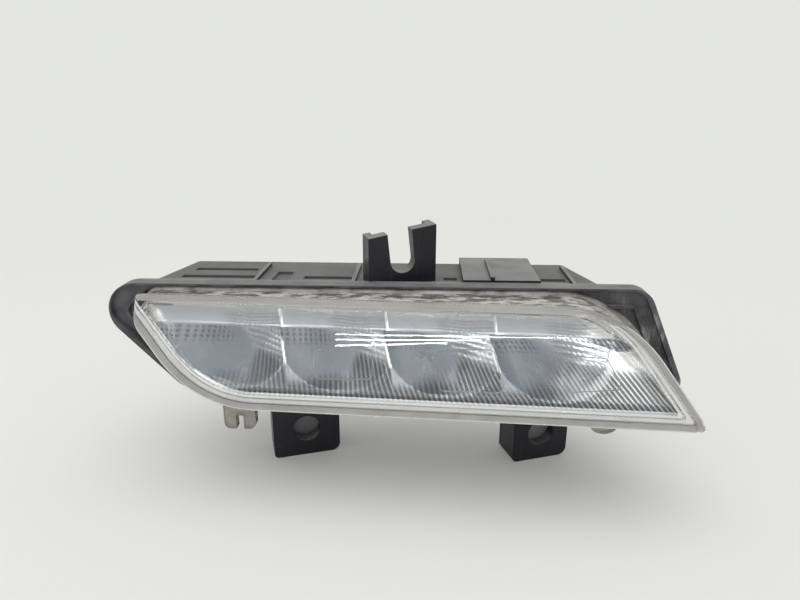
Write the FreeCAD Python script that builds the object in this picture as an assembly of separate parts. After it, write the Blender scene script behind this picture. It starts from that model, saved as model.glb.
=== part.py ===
"""Auxiliary driving lamp for a bumper corner.

A black housing with a broad flange carries a raked clear lens, a four-chamber
reflector lit from above by a board of LEDs, and a rear heat sink.  A fork on
top and two cored feet below fix the lamp to the car.

Working axes: x along the lamp, y from the lens back to the socket, z up.  The
front of the flange lies on y = 0 and the feet stand on z = 0.  All lengths are
millimetres.  The finished lamp is moved so that the middle of its underside is
the origin.
"""

import FreeCAD
import Part

import math
import os

V = FreeCAD.Vector

# Flange of the housing, seen from the front
FLANGE_TOP_Z = 65.0
FLANGE_HEIGHT = 35.0
FLANGE_TOP_LEFT_X = -101.8
FLANGE_TOP_RIGHT_X = 73.7
FLANGE_BOTTOM_RIGHT_X = 89.2
FLANGE_BOTTOM_LEFT_X = -68.8
FLANGE_NOSE_R = 9.0
FLANGE_TOP_R = 7.0
FLANGE_TIP_R = 5.0
FLANGE_HEEL_R = 8.0
FLANGE_T = 4.0
RIM_W = 1.6
RIM_TOP_W = 0.7
RIM_H = 1.4
RIDGE_W = 1.0
RIDGE_H = 1.2
RIDGE_INSET = 5.2
RIDGE_CLEAR = 0.8

# Lens outline, measured in from the flange's corners
LENS_MARGIN = 2.1
LENS_TOP_LEFT_IN = 14.2
LENS_TOP_RIGHT_IN = 10.4
LENS_BOTTOM_RIGHT_IN = 3.8
LENS_BOTTOM_LEFT_IN = 7.0
LENS_NOSE_R = 6.0
LENS_TOP_R = 34.0
LENS_TIP_R = 1.9
LENS_HEEL_R = 38.0
LENS_WALL = 2.0
LENS_BEVEL_W = 4.2
LENS_BEVEL_TOP_W = 0.8
LENS_BEVEL_H = 1.2
LENS_STEPS = 3
STEP_TREAD = 0.78
STEP_FALL = 0.3
LENS_FOOT = 1.6

# Lens face: reach in front of the flange at the top, sweep and rake
FACE_REACH = 9.8
FACE_SWEEP = 0.06
FACE_RAKE = 0.32

# Lugs moulded under the lens
LUG_L_X = -50.0
LUG_R_X = 63.0
LUG_Y = -8.0
LUG_L_W = 8.4
LUG_R_W = 10.4
LUG_T = 3.0
LUG_L_DROP = 11.6
LUG_R_DROP = 10.6
LUG_NOTCH_W = 2.4
LUG_NOTCH_H = 4.6

# Joint between lens and housing
JOINT_CLEAR = 0.3
JOINT_BED = 0.6
JOINT_LIP = 0.8

# Body behind the flange
BODY_DEPTH = 33.0
BODY_WALL = 2.4
BODY_TOP_IN = 1.5
BODY_BOTTOM_IN = 2.5
BODY_LEFT_IN = 21.4
BODY_RIGHT_IN = 11.2
BODY_HEEL_IN = 5.0
BODY_TIP_IN = 13.2
BODY_HEEL_H = 14.5
BODY_R = 3.0
BODY_SHOULDER = 8.0
BODY_TAPER_LEFT = 5.0
BODY_TAPER_RIGHT = 6.0
BODY_TAPER_Z = 0.4

# Moulded detail on the top of the body
GROOVE_W = 3.2
GROOVE_D = 1.0
GROOVE_Y = 12.6
GROOVE_IN = 9.0
GROOVE_GAP = 1.5
RIB_W = 1.2
RIB_H = 1.0
RIB_RUN = 23.0
RIB_L_IN = 34.5
RIB_R_IN = 9.0
PAD_W = 23.5
PAD_H = 2.2
PAD_X = 19.2
POCKET_W = 5.2
POCKET_RUN = 14.0
POCKET_GAP = 4.6

# Feet and fork: they face the car's axis, turned from the flange
TURN = 18.5
FOOT_L_W = 22.8
FOOT_R_W = 20.2
FOOT_DEPTH = 11.0
FOOT_PLATE = 3.8
FOOT_WALL = 2.5
FOOT_R = 3.0
FOOT_HEEL_R = 1.6
FOOT_L_X = -43.4
FOOT_L_Y = 6.1
FOOT_R_X = 38.1
FOOT_R_Y = 7.3
HOLE_R = 4.7
HOLE_Z = 10.0
FORK_W = 21.5
FORK_X = 0.6
FORK_Y = 6.6
FORK_PLATE = 4.6
FORK_DEPTH = 8.0
FORK_WALL = 2.2
FORK_RISE = 15.0
FORK_ROLL = 9.0
SLOT_W = 7.8
SLOT_FLOOR = 2.0
SLOT_ROLL = 6.0

# Reflector
REFLECTOR_GAP = 0.3
REFLECTOR_SIDE_GAP = 0.6
REFLECTOR_LEFT_GAP = 3.4
REFLECTOR_NOSE_R = 3.0
REFLECTOR_TIP_R = 0.8
REFLECTOR_T = 1.7
REFLECTOR_LIP_W = 1.2
REFLECTOR_LIP_H = 0.5
BOWL_COUNT = 4
BOWL_PITCH = 31.5
BOWL_FIRST_X = -57.8
BOWL_FOCUS = 4.0
BOWL_REACH = 44.0
BOWL_FLARE = 0.28
BOWL_FOCUS_Y = 2.5
DECK_T = 1.4
DECK_BACK_Y = 13.0
WINDOW_W = 5.2
DECK_PAD_R = 3.0

# Board, LEDs and the parts soldered to it
BOARD_T = 1.5
BOARD_FRONT_Y = -3.6
BOARD_BACK_Y = 27.0
BOARD_LEFT_X = -64.0
BOARD_RIGHT_X = 46.0
LED_W = 3.4
LED_BASE_T = 0.5
LED_DOME_R = 1.25
LED_H = 0.9
PARTS_Y = 20.0
CHIP_W = 7.0
CHIP_T = 1.3
CHIP_X = -8.0
CHOKE_R = 4.2
CHOKE_H = 5.0
CHOKE_X = 6.0
DIODE_L = 4.6
DIODE_W = 2.6
DIODE_T = 2.2
DIODE_X = 18.0
CAPACITOR_R = 3.2
CAPACITOR_H = 6.0
CAPACITOR_X = 29.0
RESISTOR_L = 3.2
RESISTOR_W = 1.6
RESISTOR_T = 0.6
RESISTOR_X = -26.0
RESISTOR_STEP = 4.4
RESISTOR_COUNT = 3

# Heat sink, its gasket and the screws
SHELF_T = 2.3
SHELF_ROOM = 0.5
SINK_PLATE_T = 3.0
SINK_END = 7.5
SINK_TOP_IN = 1.2
SINK_SHARE = 0.52
FIN_COUNT = 15
FIN_T = 1.6
FIN_DEPTH = 9.5
FIN_TOP_IN = 3.0
FIN_END_IN = 10.0
GASKET_T = 1.0
WINDOW_CLEAR = 0.4
SCREW_R = 1.3
SCREW_HEAD_R = 2.4
SCREW_HEAD_H = 1.7
SCREW_L = 8.0
SCREW_CLEAR = 0.1
SCREW_EDGE = 3.6
BOSS_R = 2.9
BOSS_L = 6.0
CLAMP_SCREW_R = 1.1
CLAMP_HEAD_R = 2.1
CLAMP_HEAD_H = 1.5
CLAMP_BACK = 7.4

# Electrical socket on the back
SOCKET_X = -46.0
SOCKET_W = 24.0
SOCKET_H = 11.0
SOCKET_DEPTH = 15.0
SOCKET_WALL = 1.8
SOCKET_R = 1.6
KEY_W = 3.0
KEY_H = 0.9
PIN_COUNT = 3
PIN_STEP = 5.4
PIN_W = 2.0
PIN_T = 0.8
PIN_OUT = 8.5
PIN_IN_Y = 24.0
PIN_CLEAR = 0.05

# Breather on the back
VENT_X = 22.0
VENT_BORE_R = 2.4
VENT_NECK_R = 3.8
VENT_NECK_H = 3.6
VENT_FILM_T = 0.4
VENT_CAP_R = 5.6
VENT_CAP_T = 1.2
VENT_CLEAR = 0.3

# Values that follow from the sizes above
FLANGE_BOTTOM_Z = FLANGE_TOP_Z - FLANGE_HEIGHT
LENS_TOP_Z = FLANGE_TOP_Z - LENS_MARGIN
LENS_BOTTOM_Z = FLANGE_BOTTOM_Z + LENS_MARGIN
BODY_TOP_Z = FLANGE_TOP_Z - BODY_TOP_IN
BODY_BOTTOM_Z = FLANGE_BOTTOM_Z + BODY_BOTTOM_IN
BACK_H = BODY_TOP_Z - BODY_BOTTOM_Z
SINK_BOTTOM_Z = BODY_BOTTOM_Z + BACK_H * (1 - SINK_SHARE)
SOCKET_Z = (BODY_BOTTOM_Z + SINK_BOTTOM_Z) / 2
VENT_Z = SOCKET_Z
OPENING_IN = LENS_WALL + JOINT_CLEAR + JOINT_LIP
SHELF_TOP_Z = LENS_TOP_Z - OPENING_IN - SHELF_ROOM
SHELF_Z = SHELF_TOP_Z - SHELF_T
BOARD_Z = SHELF_Z - BOARD_T
LED_Z = BOARD_Z - LED_H
DECK_TOP_Z = LED_Z + LED_H - LED_BASE_T + 0.1
DECK_Z = DECK_TOP_Z - DECK_T
AXIS_Z = LED_Z
BODY_INSIDE_Y = BODY_DEPTH - BODY_WALL
REFLECTOR_SETBACK = LENS_WALL + LENS_BEVEL_H + REFLECTOR_GAP + REFLECTOR_LIP_H
REFLECTOR_IN = LENS_WALL + REFLECTOR_SIDE_GAP
SINK_Y = BODY_DEPTH + GASKET_T
COS_T = math.cos(math.radians(TURN))
SIN_T = math.sin(math.radians(TURN))
AHEAD = V(SIN_T, -COS_T, 0)
ALONG = V(COS_T, SIN_T, 0)
UP = V(0, 0, 1)


def inset(points, margins):
    """Move each side of a convex outline inward and return its new corners."""
    count = len(points)
    if not isinstance(margins, (list, tuple)):
        margins = [margins] * count
    middle_x = sum(p[0] for p in points) / count
    middle_z = sum(p[1] for p in points) / count
    sides = []
    for i in range(count):
        (x0, z0), (x1, z1) = points[i], points[(i + 1) % count]
        run = math.hypot(x1 - x0, z1 - z0)
        nx, nz = (z1 - z0) / run, -(x1 - x0) / run
        if nx * (middle_x - x0) + nz * (middle_z - z0) < 0:
            nx, nz = -nx, -nz
        sides.append((nx, nz, nx * x0 + nz * z0 + margins[i]))
    corners = []
    for i in range(count):
        a, b, c = sides[i - 1]
        d, e, f = sides[i]
        det = a * e - b * d
        corners.append(((c * e - b * f) / det, (a * f - c * d) / det))
    return corners


def rounded(points, radii, height):
    """Close a rounded outline; height maps (x, z) to a place in space."""
    count = len(points)
    arcs = []
    for i in range(count):
        x, z = points[i]
        legs = []
        for other in (points[i - 1], points[(i + 1) % count]):
            dx, dz = other[0] - x, other[1] - z
            run = math.hypot(dx, dz)
            legs.append((dx / run, dz / run))
        (ax, az), (bx, bz) = legs
        half = math.acos(max(-1.0, min(1.0, ax * bx + az * bz))) / 2
        cut = radii[i] / math.tan(half)
        mx, mz = ax + bx, az + bz
        size = math.hypot(mx, mz)
        reach = radii[i] / math.sin(half) - radii[i]
        arcs.append((
            height(x + ax * cut, z + az * cut),
            height(x + mx / size * reach, z + mz / size * reach),
            height(x + bx * cut, z + bz * cut),
        ))
    edges = []
    for i in range(count):
        start, mid, end = arcs[i]
        edges.append(Part.Arc(start, mid, end).toShape())
        edges.append(Part.LineSegment(end, arcs[(i + 1) % count][0]).toShape())
    return Part.Wire(edges)


def shrink(radii, amount):
    """Return corner radii for an outline set in by an amount."""
    return [max(0.5, r - amount) for r in radii]


def flat(y):
    """Place an outline upright at a distance y behind the flange's front."""
    return lambda x, z: V(x, y, z)


def raked(back):
    """Place an outline on the lens face, moved back by an amount."""
    def place(x, z):
        y = -FACE_REACH - FACE_SWEEP * x - FACE_RAKE * (LENS_TOP_Z - z)
        return V(x, y + back, z)
    return place


def tray(points, radii, places):
    """Loft one rounded outline through several places."""
    return Part.makeLoft([rounded(points, radii, p) for p in places], True, True)


def raked_slab(points, radii, front, back):
    """Slice of an upright outline between two planes parallel to the lens face."""
    reach = BODY_DEPTH * 2
    bar = tray(points, radii, [flat(-reach), flat(reach)])
    place = raked(front)
    corners = [place(x, z) for x, z in (
        (FLANGE_TOP_LEFT_X, FLANGE_TOP_Z), (FLANGE_BOTTOM_RIGHT_X, FLANGE_TOP_Z),
        (FLANGE_BOTTOM_RIGHT_X, FLANGE_BOTTOM_Z), (FLANGE_TOP_LEFT_X, FLANGE_BOTTOM_Z))]
    sheet = Part.Face(Part.makePolygon(corners + corners[:1]))
    return bar.common(sheet.extrude(V(0, back - front, 0)))


def box(x0, x1, y0, y1, z0, z1):
    """Make a block from its limits."""
    return Part.makeBox(x1 - x0, y1 - y0, z1 - z0, V(x0, y0, z0))


def rod(radius, length, start, direction):
    """Make a round bar."""
    return Part.makeCylinder(radius, length, start, direction)


def fuse(shapes):
    """Join shapes into one clean solid."""
    return shapes[0].multiFuse(shapes[1:]).removeSplitter()


def plate(corner, points, depth):
    """Extrude a turned face: points are (along, up) edges from a corner."""
    ring = []
    for kind, *data in points:
        at = [corner + ALONG * u + UP * w for u, w in data]
        if kind == "line":
            ring.append(Part.LineSegment(*at).toShape())
        else:
            ring.append(Part.Arc(*at).toShape())
    face = Part.Face(Part.Wire(Part.__sortEdges__(ring)))
    return face.extrude(AHEAD * -depth)


FLANGE = [
    (FLANGE_TOP_LEFT_X, FLANGE_TOP_Z),
    (FLANGE_TOP_RIGHT_X, FLANGE_TOP_Z),
    (FLANGE_BOTTOM_RIGHT_X, FLANGE_BOTTOM_Z),
    (FLANGE_BOTTOM_LEFT_X, FLANGE_BOTTOM_Z),
]
FLANGE_RADII = [FLANGE_NOSE_R, FLANGE_TOP_R, FLANGE_TIP_R, FLANGE_HEEL_R]
LENS = [
    (FLANGE_TOP_LEFT_X + LENS_TOP_LEFT_IN, LENS_TOP_Z),
    (FLANGE_TOP_RIGHT_X - LENS_TOP_RIGHT_IN, LENS_TOP_Z),
    (FLANGE_BOTTOM_RIGHT_X - LENS_BOTTOM_RIGHT_IN, LENS_BOTTOM_Z),
    (FLANGE_BOTTOM_LEFT_X + LENS_BOTTOM_LEFT_IN, LENS_BOTTOM_Z),
]
LENS_RADII = [LENS_NOSE_R, LENS_TOP_R, LENS_TIP_R, LENS_HEEL_R]
LENS_BEVEL = [LENS_BEVEL_TOP_W, LENS_BEVEL_W, LENS_BEVEL_W, LENS_BEVEL_W]
BODY = [
    (FLANGE_TOP_LEFT_X + BODY_LEFT_IN, BODY_TOP_Z),
    (FLANGE_TOP_RIGHT_X - BODY_RIGHT_IN, BODY_TOP_Z),
    (FLANGE_BOTTOM_RIGHT_X - BODY_TIP_IN, BODY_BOTTOM_Z),
    (FLANGE_BOTTOM_LEFT_X + BODY_HEEL_IN, BODY_BOTTOM_Z),
    (FLANGE_TOP_LEFT_X + BODY_LEFT_IN, BODY_BOTTOM_Z + BODY_HEEL_H),
]
BODY_RADII = [BODY_R] * len(BODY)
BODY_REAR = inset(BODY, [BODY_TAPER_Z, BODY_TAPER_RIGHT, BODY_TAPER_Z,
                         BODY_TAPER_LEFT, BODY_TAPER_LEFT])
REFLECTOR = inset(LENS, [REFLECTOR_IN, REFLECTOR_IN, REFLECTOR_IN,
                         LENS_WALL + REFLECTOR_LEFT_GAP])
REFLECTOR_RADII = [REFLECTOR_NOSE_R, LENS_TOP_R - REFLECTOR_IN, REFLECTOR_TIP_R,
                   LENS_HEEL_R - LENS_WALL - REFLECTOR_LEFT_GAP]
LED_X = [BOWL_FIRST_X + i * BOWL_PITCH for i in range(BOWL_COUNT)]
CLAMP_X = [x + BOWL_PITCH / 2 for x in LED_X[:-1]]
FOCI = [V(x, BOWL_FOCUS_Y - FACE_SWEEP * x, AXIS_Z) for x in LED_X]
SINK_LEFT_X = BOARD_LEFT_X - SINK_END
SINK_RIGHT_X = BOARD_RIGHT_X + SINK_END
SINK_TOP_Z = BODY_TOP_Z - BODY_TAPER_Z - SINK_TOP_IN
SINK_SCREWS = [(x, z)
               for x in (SINK_LEFT_X + SCREW_EDGE, SINK_RIGHT_X - SCREW_EDGE)
               for z in (SINK_BOTTOM_Z + SCREW_EDGE, SINK_TOP_Z - SCREW_EDGE)]
PIN_X = [SOCKET_X + (i - (PIN_COUNT - 1) / 2) * PIN_STEP for i in range(PIN_COUNT)]


def lens_form(amount, foot):
    """Solid of the lens set in by an amount, from its foot to its face."""
    body = inset(LENS, amount)
    radii = shrink(LENS_RADII, amount)
    rings = [rounded(body, radii, flat(foot))]
    for share, fall in lens_bevel(amount == 0):
        sides = [w * share for w in LENS_BEVEL]
        rings.append(rounded(inset(body, sides), shrink(radii, LENS_BEVEL_W * share),
                             raked(amount + LENS_BEVEL_H * (1 - fall))))
    return Part.makeLoft(rings, True, True)


def lens_bevel(stepped):
    """Profile of the lens's frame, as shares of its width and of its height."""
    if not stepped:
        return [(0, 0), (1, 1)]
    profile = [(0, 0)]
    for i in range(LENS_STEPS):
        profile.append(((i + STEP_TREAD) / LENS_STEPS, (i + STEP_FALL) / LENS_STEPS))
        profile.append(((i + 1) / LENS_STEPS, (i + 1) / LENS_STEPS))
    return profile


def lens_lug(x, width, drop, notched):
    """One locating lug that hangs from the lens's lower wall."""
    top = LENS_BOTTOM_Z + LENS_WALL / 2
    low = LENS_BOTTOM_Z - drop
    y0 = LUG_Y - LUG_T / 2
    lug = box(x - width / 2, x + width / 2, y0, y0 + LUG_T, low, top)
    corners = [e for e in lug.Edges
               if abs(e.CenterOfMass.z - low) < 1e-6
               and abs(e.CenterOfMass.y - LUG_Y) < 1e-6]
    lug = lug.makeFillet(width * 0.2, corners)
    if notched:
        half = LUG_NOTCH_W / 2
        lug = lug.cut(box(x - half, x + half, y0, y0 + LUG_T, low, low + LUG_NOTCH_H))
    return lug


def make_outer_lens():
    """Clear lens: a raked tray with a bevelled frame and two lugs."""
    shell = lens_form(0, LENS_FOOT)
    lugs = [lens_lug(LUG_L_X, LUG_L_W, LUG_L_DROP, True),
            lens_lug(LUG_R_X, LUG_R_W, LUG_R_DROP, False)]
    return fuse([shell] + lugs).cut(lens_form(LENS_WALL, LENS_FOOT + 1))


def joint_ring(y0, y1):
    """Ring that follows the lens's foot, with the joint's clearance."""
    wide = tray(inset(LENS, -JOINT_CLEAR), [r + JOINT_CLEAR for r in LENS_RADII],
                [flat(y0), flat(y1)])
    amount = LENS_WALL + JOINT_CLEAR
    core = tray(inset(LENS, amount), shrink(LENS_RADII, amount), [flat(y0), flat(y1)])
    return wide.cut(core)


def make_sealant():
    """Bed of sealant under the lens's foot."""
    return joint_ring(LENS_FOOT, LENS_FOOT + JOINT_BED)


def flange_plate():
    """Flange with its rim, inner ridge and the groove for the lens."""
    rim_in = inset(FLANGE, [RIM_TOP_W, RIM_W, RIM_W, RIM_W])
    slab = tray(FLANGE, FLANGE_RADII, [flat(-RIM_H), flat(FLANGE_T)])
    slab = slab.cut(tray(rim_in, shrink(FLANGE_RADII, RIM_W), [flat(-RIM_H - 1), flat(0)]))
    wide = tray(inset(FLANGE, RIDGE_INSET), shrink(FLANGE_RADII, RIDGE_INSET),
                [flat(-RIDGE_H), flat(0)])
    core_in = RIDGE_INSET + RIDGE_W
    core = tray(inset(FLANGE, core_in), shrink(FLANGE_RADII, core_in),
                [flat(-RIDGE_H), flat(0)])
    keep = tray(inset(LENS, -RIDGE_CLEAR), [r + RIDGE_CLEAR for r in LENS_RADII],
                [flat(-RIDGE_H), flat(0)])
    ridge = wide.cut(core).cut(keep)
    return slab.fuse(ridge)


def body_form(wall, front, back):
    """Solid of the body, or of its inside when a wall is given."""
    rear = inset(BODY_REAR, wall)
    near = inset(BODY, wall)
    radii = shrink(BODY_RADII, wall)
    block = tray(near, radii, [flat(front), flat(BODY_SHOULDER)])
    taper = Part.makeLoft([rounded(near, radii, flat(BODY_SHOULDER)),
                           rounded(rear, radii, flat(back))], True, True)
    return block.fuse(taper)


def body_top():
    """Ribs and pad raised on the body's top, and the grooves cut in it."""
    base = BODY_TOP_Z - BODY_WALL / 2
    start = FLANGE_T
    left, right = BODY[0][0], BODY[1][0]
    pad_end = PAD_X + PAD_W
    ribs = []
    for x in (left + RIB_L_IN, FORK_X - FORK_W * 0.72, PAD_X + PAD_W * 0.38, right - RIB_R_IN):
        lift = PAD_H + RIB_H if PAD_X < x < pad_end else RIB_H
        ribs.append(box(x - RIB_W / 2, x + RIB_W / 2, start, start + RIB_RUN,
                        base, BODY_TOP_Z + lift))
    pad = box(PAD_X, pad_end, start, BODY_DEPTH - RIB_W, base, BODY_TOP_Z + PAD_H)
    floor = BODY_TOP_Z - GROOVE_D
    y0, y1 = GROOVE_Y - GROOVE_W / 2, GROOVE_Y + GROOVE_W / 2
    pocket = left + RIB_L_IN + POCKET_GAP
    runs = [(left + GROOVE_IN, left + RIB_L_IN - GROOVE_GAP),
            (pocket + POCKET_W + POCKET_GAP, FORK_X - FORK_W * 0.76),
            (FORK_X + FORK_W * 0.6, PAD_X - GROOVE_GAP),
            (pad_end + GROOVE_GAP, right - RIB_R_IN - GROOVE_GAP)]
    cuts = [box(a, b, y0, y1, floor, BODY_TOP_Z + 1) for a, b in runs]
    step = GROOVE_Y + GROOVE_W * 2.4
    first, last = runs[0]
    cuts.append(box(first + GROOVE_GAP, last - GROOVE_GAP, step, step + GROOVE_W,
                    floor, BODY_TOP_Z + 1))
    cuts.append(box(pocket, pocket + POCKET_W, start + 1.5, start + 1.5 + POCKET_RUN,
                    floor, BODY_TOP_Z + 1))
    return ribs + [pad], cuts


def foot(x, y, w):
    """One foot, cored from the back, with its fixing hole: a solid and its cuts."""
    corner = V(x, y, 0)
    top = BODY_BOTTOM_Z + BODY_WALL / 2
    r, h, t = FOOT_R, FOOT_HEEL_R, FOOT_WALL
    k, m = r * (1 - math.sqrt(0.5)), h * (1 - math.sqrt(0.5))
    form = plate(corner, [
        ("line", (h, 0), (w - r, 0)),
        ("arc", (w - r, 0), (w - k, k), (w, r)),
        ("line", (w, r), (w, top)),
        ("line", (w, top), (0, top)),
        ("line", (0, top), (0, h)),
        ("arc", (0, h), (m, m), (h, 0)),
    ], FOOT_DEPTH)
    core = plate(corner - AHEAD * FOOT_PLATE, [
        ("line", (t, t), (w - t, t)),
        ("line", (w - t, t), (w - t, BODY_BOTTOM_Z)),
        ("line", (w - t, BODY_BOTTOM_Z), (t, BODY_BOTTOM_Z)),
        ("line", (t, BODY_BOTTOM_Z), (t, t)),
    ], FOOT_DEPTH)
    eye = corner + ALONG * (w / 2) + UP * HOLE_Z + AHEAD
    return form, [core, rod(HOLE_R, FOOT_PLATE + 2, eye, AHEAD * -1)]


def fork():
    """Fork on top: a plate with two cheeks, and the slot cut through it."""
    base = BODY_TOP_Z - BODY_WALL / 2
    corner = V(FORK_X, FORK_Y, 0) - ALONG * (FORK_W / 2)
    low = FLANGE_TOP_Z + FORK_RISE - FORK_W / 2 * math.tan(math.radians(FORK_ROLL))
    high = FLANGE_TOP_Z + FORK_RISE + FORK_W / 2 * math.tan(math.radians(FORK_ROLL))
    form = plate(corner, [
        ("line", (0, base), (FORK_W, base)),
        ("line", (FORK_W, base), (FORK_W, high)),
        ("line", (FORK_W, high), (0, low)),
        ("line", (0, low), (0, base)),
    ], FORK_DEPTH)
    inner = corner - AHEAD * FORK_PLATE
    core = plate(inner, [
        ("line", (FORK_WALL, BODY_TOP_Z), (FORK_W - FORK_WALL, BODY_TOP_Z)),
        ("line", (FORK_W - FORK_WALL, BODY_TOP_Z), (FORK_W - FORK_WALL, high + 1)),
        ("line", (FORK_W - FORK_WALL, high + 1), (FORK_WALL, high + 1)),
        ("line", (FORK_WALL, high + 1), (FORK_WALL, BODY_TOP_Z)),
    ], FORK_DEPTH)
    r = SLOT_W / 2
    seat = V(FORK_X, FORK_Y, FLANGE_TOP_Z + SLOT_FLOOR + r) + AHEAD
    lean = math.radians(SLOT_ROLL)
    side = ALONG * math.cos(lean) + UP * math.sin(lean)
    rise = UP * math.cos(lean) - ALONG * math.sin(lean)
    reach = FORK_RISE * 2
    ring = [
        Part.Arc(seat - side * r, seat - rise * r, seat + side * r).toShape(),
        Part.LineSegment(seat + side * r, seat + side * r + rise * reach).toShape(),
        Part.LineSegment(seat + side * r + rise * reach,
                         seat - side * r + rise * reach).toShape(),
        Part.LineSegment(seat - side * r + rise * reach, seat - side * r).toShape(),
    ]
    slot = Part.Face(Part.Wire(ring)).extrude(AHEAD * -(FORK_DEPTH + 2))
    return form.cut(core).cut(slot)


def socket_shell():
    """Shroud of the electrical socket with its keyways."""
    def sleeve(amount, y0, y1):
        w, h = SOCKET_W / 2 - amount, SOCKET_H / 2 - amount
        ring = [(SOCKET_X - w, SOCKET_Z + h), (SOCKET_X + w, SOCKET_Z + h),
                (SOCKET_X + w, SOCKET_Z - h), (SOCKET_X - w, SOCKET_Z - h)]
        return tray(ring, shrink([SOCKET_R] * 4, amount), [flat(y0), flat(y1)])
    mouth = BODY_DEPTH + SOCKET_DEPTH
    shell = sleeve(0, BODY_INSIDE_Y, mouth)
    core = sleeve(SOCKET_WALL, BODY_DEPTH, mouth)
    side = SOCKET_H / 2 - SOCKET_WALL
    for x in (SOCKET_X - SOCKET_W / 4, SOCKET_X + SOCKET_W / 4):
        core = core.fuse(box(x - KEY_W / 2, x + KEY_W / 2, BODY_DEPTH, mouth,
                             SOCKET_Z, SOCKET_Z + side + KEY_H))
    return shell, core


def make_housing():
    """Housing in one moulding: flange, body, feet, fork, socket and neck."""
    raised, cuts = body_top()
    solids = [flange_plate(), body_form(0, 0, BODY_DEPTH)] + raised
    opening = tray(inset(LENS, OPENING_IN), shrink(LENS_RADII, OPENING_IN),
                   [flat(-1), flat(FLANGE_T)])
    inside = body_form(BODY_WALL, -1, BODY_INSIDE_Y)
    front = box(FLANGE_TOP_LEFT_X, FLANGE_BOTTOM_RIGHT_X, -2, FLANGE_T,
                FLANGE_BOTTOM_Z, FLANGE_TOP_Z)
    hollow = inside.cut(front).fuse(inside.common(opening))
    for x, y, w in ((FOOT_L_X, FOOT_L_Y, FOOT_L_W), (FOOT_R_X, FOOT_R_Y, FOOT_R_W)):
        form, cores = foot(x, y, w)
        solids.append(form)
        cuts += cores
    solids.append(fork())
    shell, core = socket_shell()
    solids.append(shell)
    cuts.append(core)
    neck_end = BODY_DEPTH + VENT_NECK_H
    solids.append(rod(VENT_NECK_R, VENT_NECK_H + BODY_WALL / 2,
                      V(VENT_X, neck_end, VENT_Z), V(0, -1, 0)))
    moulding = fuse(solids).cut(hollow)
    bosses = [rod(BOSS_R, BOSS_L + BODY_WALL / 2, V(x, BODY_INSIDE_Y - BOSS_L, z), V(0, 1, 0))
              for x, z in SINK_SCREWS]
    moulding = fuse([moulding] + bosses)
    cuts.append(joint_ring(0, LENS_FOOT + JOINT_BED))
    cuts.append(rod(VENT_BORE_R, VENT_NECK_H + BODY_WALL * 2, V(VENT_X, neck_end + 1, VENT_Z),
                    V(0, -1, 0)))
    cuts.append(box(BOARD_LEFT_X - WINDOW_CLEAR, BOARD_RIGHT_X + WINDOW_CLEAR,
                    BODY_INSIDE_Y - 1, BODY_DEPTH + 1,
                    SHELF_Z - WINDOW_CLEAR, SHELF_TOP_Z + WINDOW_CLEAR))
    for x, z in SINK_SCREWS:
        cuts.append(rod(SCREW_R + SCREW_CLEAR, SCREW_L + 2, V(x, BODY_DEPTH + 1, z), V(0, -1, 0)))
    for x in PIN_X:
        half = PIN_W / 2 + PIN_CLEAR
        cuts.append(box(x - half, x + half, BODY_INSIDE_Y - 1, BODY_DEPTH + 1,
                        SOCKET_Z - PIN_T / 2 - PIN_CLEAR, SOCKET_Z + PIN_T / 2 + PIN_CLEAR))
    return moulding.cut(Part.makeCompound(cuts)).removeSplitter()


def bowl(focus, offset):
    """Paraboloid about the car's axis, grown outward by an offset."""
    length = BOWL_FOCUS + BOWL_FLARE * offset
    start = focus - AHEAD * (BOWL_FOCUS + offset)
    reach = BOWL_REACH + offset
    wide = math.sqrt(4 * length * reach)
    end = start + AHEAD * reach
    curve = Part.BezierCurve()
    curve.setPoles([start, start + UP * (wide / 2), end + UP * wide])
    ring = [curve.toShape(), Part.LineSegment(end + UP * wide, end).toShape(),
            Part.LineSegment(end, start).toShape()]
    face = Part.Face(Part.Wire(ring))
    return face.revolve(start, AHEAD, 360)


def make_reflector():
    """Reflector: raked front frame, four bowls and the deck under the LEDs."""
    front = REFLECTOR_SETBACK
    inner = inset(REFLECTOR, REFLECTOR_LIP_W)
    inner_radii = shrink(REFLECTOR_RADII, REFLECTOR_LIP_W)
    envelope = raked_slab(REFLECTOR, REFLECTOR_RADII, front - REFLECTOR_LIP_H, front + BODY_DEPTH)
    frame = raked_slab(REFLECTOR, REFLECTOR_RADII, front - REFLECTOR_LIP_H, front + REFLECTOR_T)
    step = raked_slab(inner, inner_radii, front - REFLECTOR_LIP_H, front)
    left = REFLECTOR[0][0]
    wide = 2 * BODY_DEPTH
    room = box(left, REFLECTOR[2][0], -wide, wide, FLANGE_BOTTOM_Z, DECK_TOP_Z)
    below = box(left, REFLECTOR[2][0], -wide, wide, FLANGE_BOTTOM_Z, DECK_Z)
    deck = slanted(LED_X[0] - BOWL_PITCH / 2, LED_X[-1] + BOWL_PITCH / 2,
                   -wide, DECK_BACK_Y, DECK_Z, DECK_T)
    shells = fuse([bowl(f, REFLECTOR_T) for f in FOCI]).common(room)
    trim = raked_slab(inner, inner_radii, front - BODY_DEPTH, front + BODY_DEPTH)
    hollows = fuse([bowl(f, 0) for f in FOCI]).common(below).common(trim)
    solid = fuse([frame, deck.common(envelope), shells.common(envelope)])
    solid = solid.cut(step).cut(hollows)
    half = WINDOW_W / 2
    cuts = [box(f.x - half, f.x + half, f.y - half, f.y + half, DECK_Z - 1, DECK_TOP_Z + 1)
            for f in FOCI]
    pads = []
    for x, y in clamp_places():
        pads.append(rod(DECK_PAD_R, BOARD_Z - DECK_Z, V(x, y, DECK_Z), UP))
        cuts.append(rod(CLAMP_SCREW_R + SCREW_CLEAR, BOARD_Z - DECK_Z + 2, V(x, y, DECK_Z - 1), UP))
    return fuse([solid] + pads).cut(Part.makeCompound(cuts)).removeSplitter()


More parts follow.
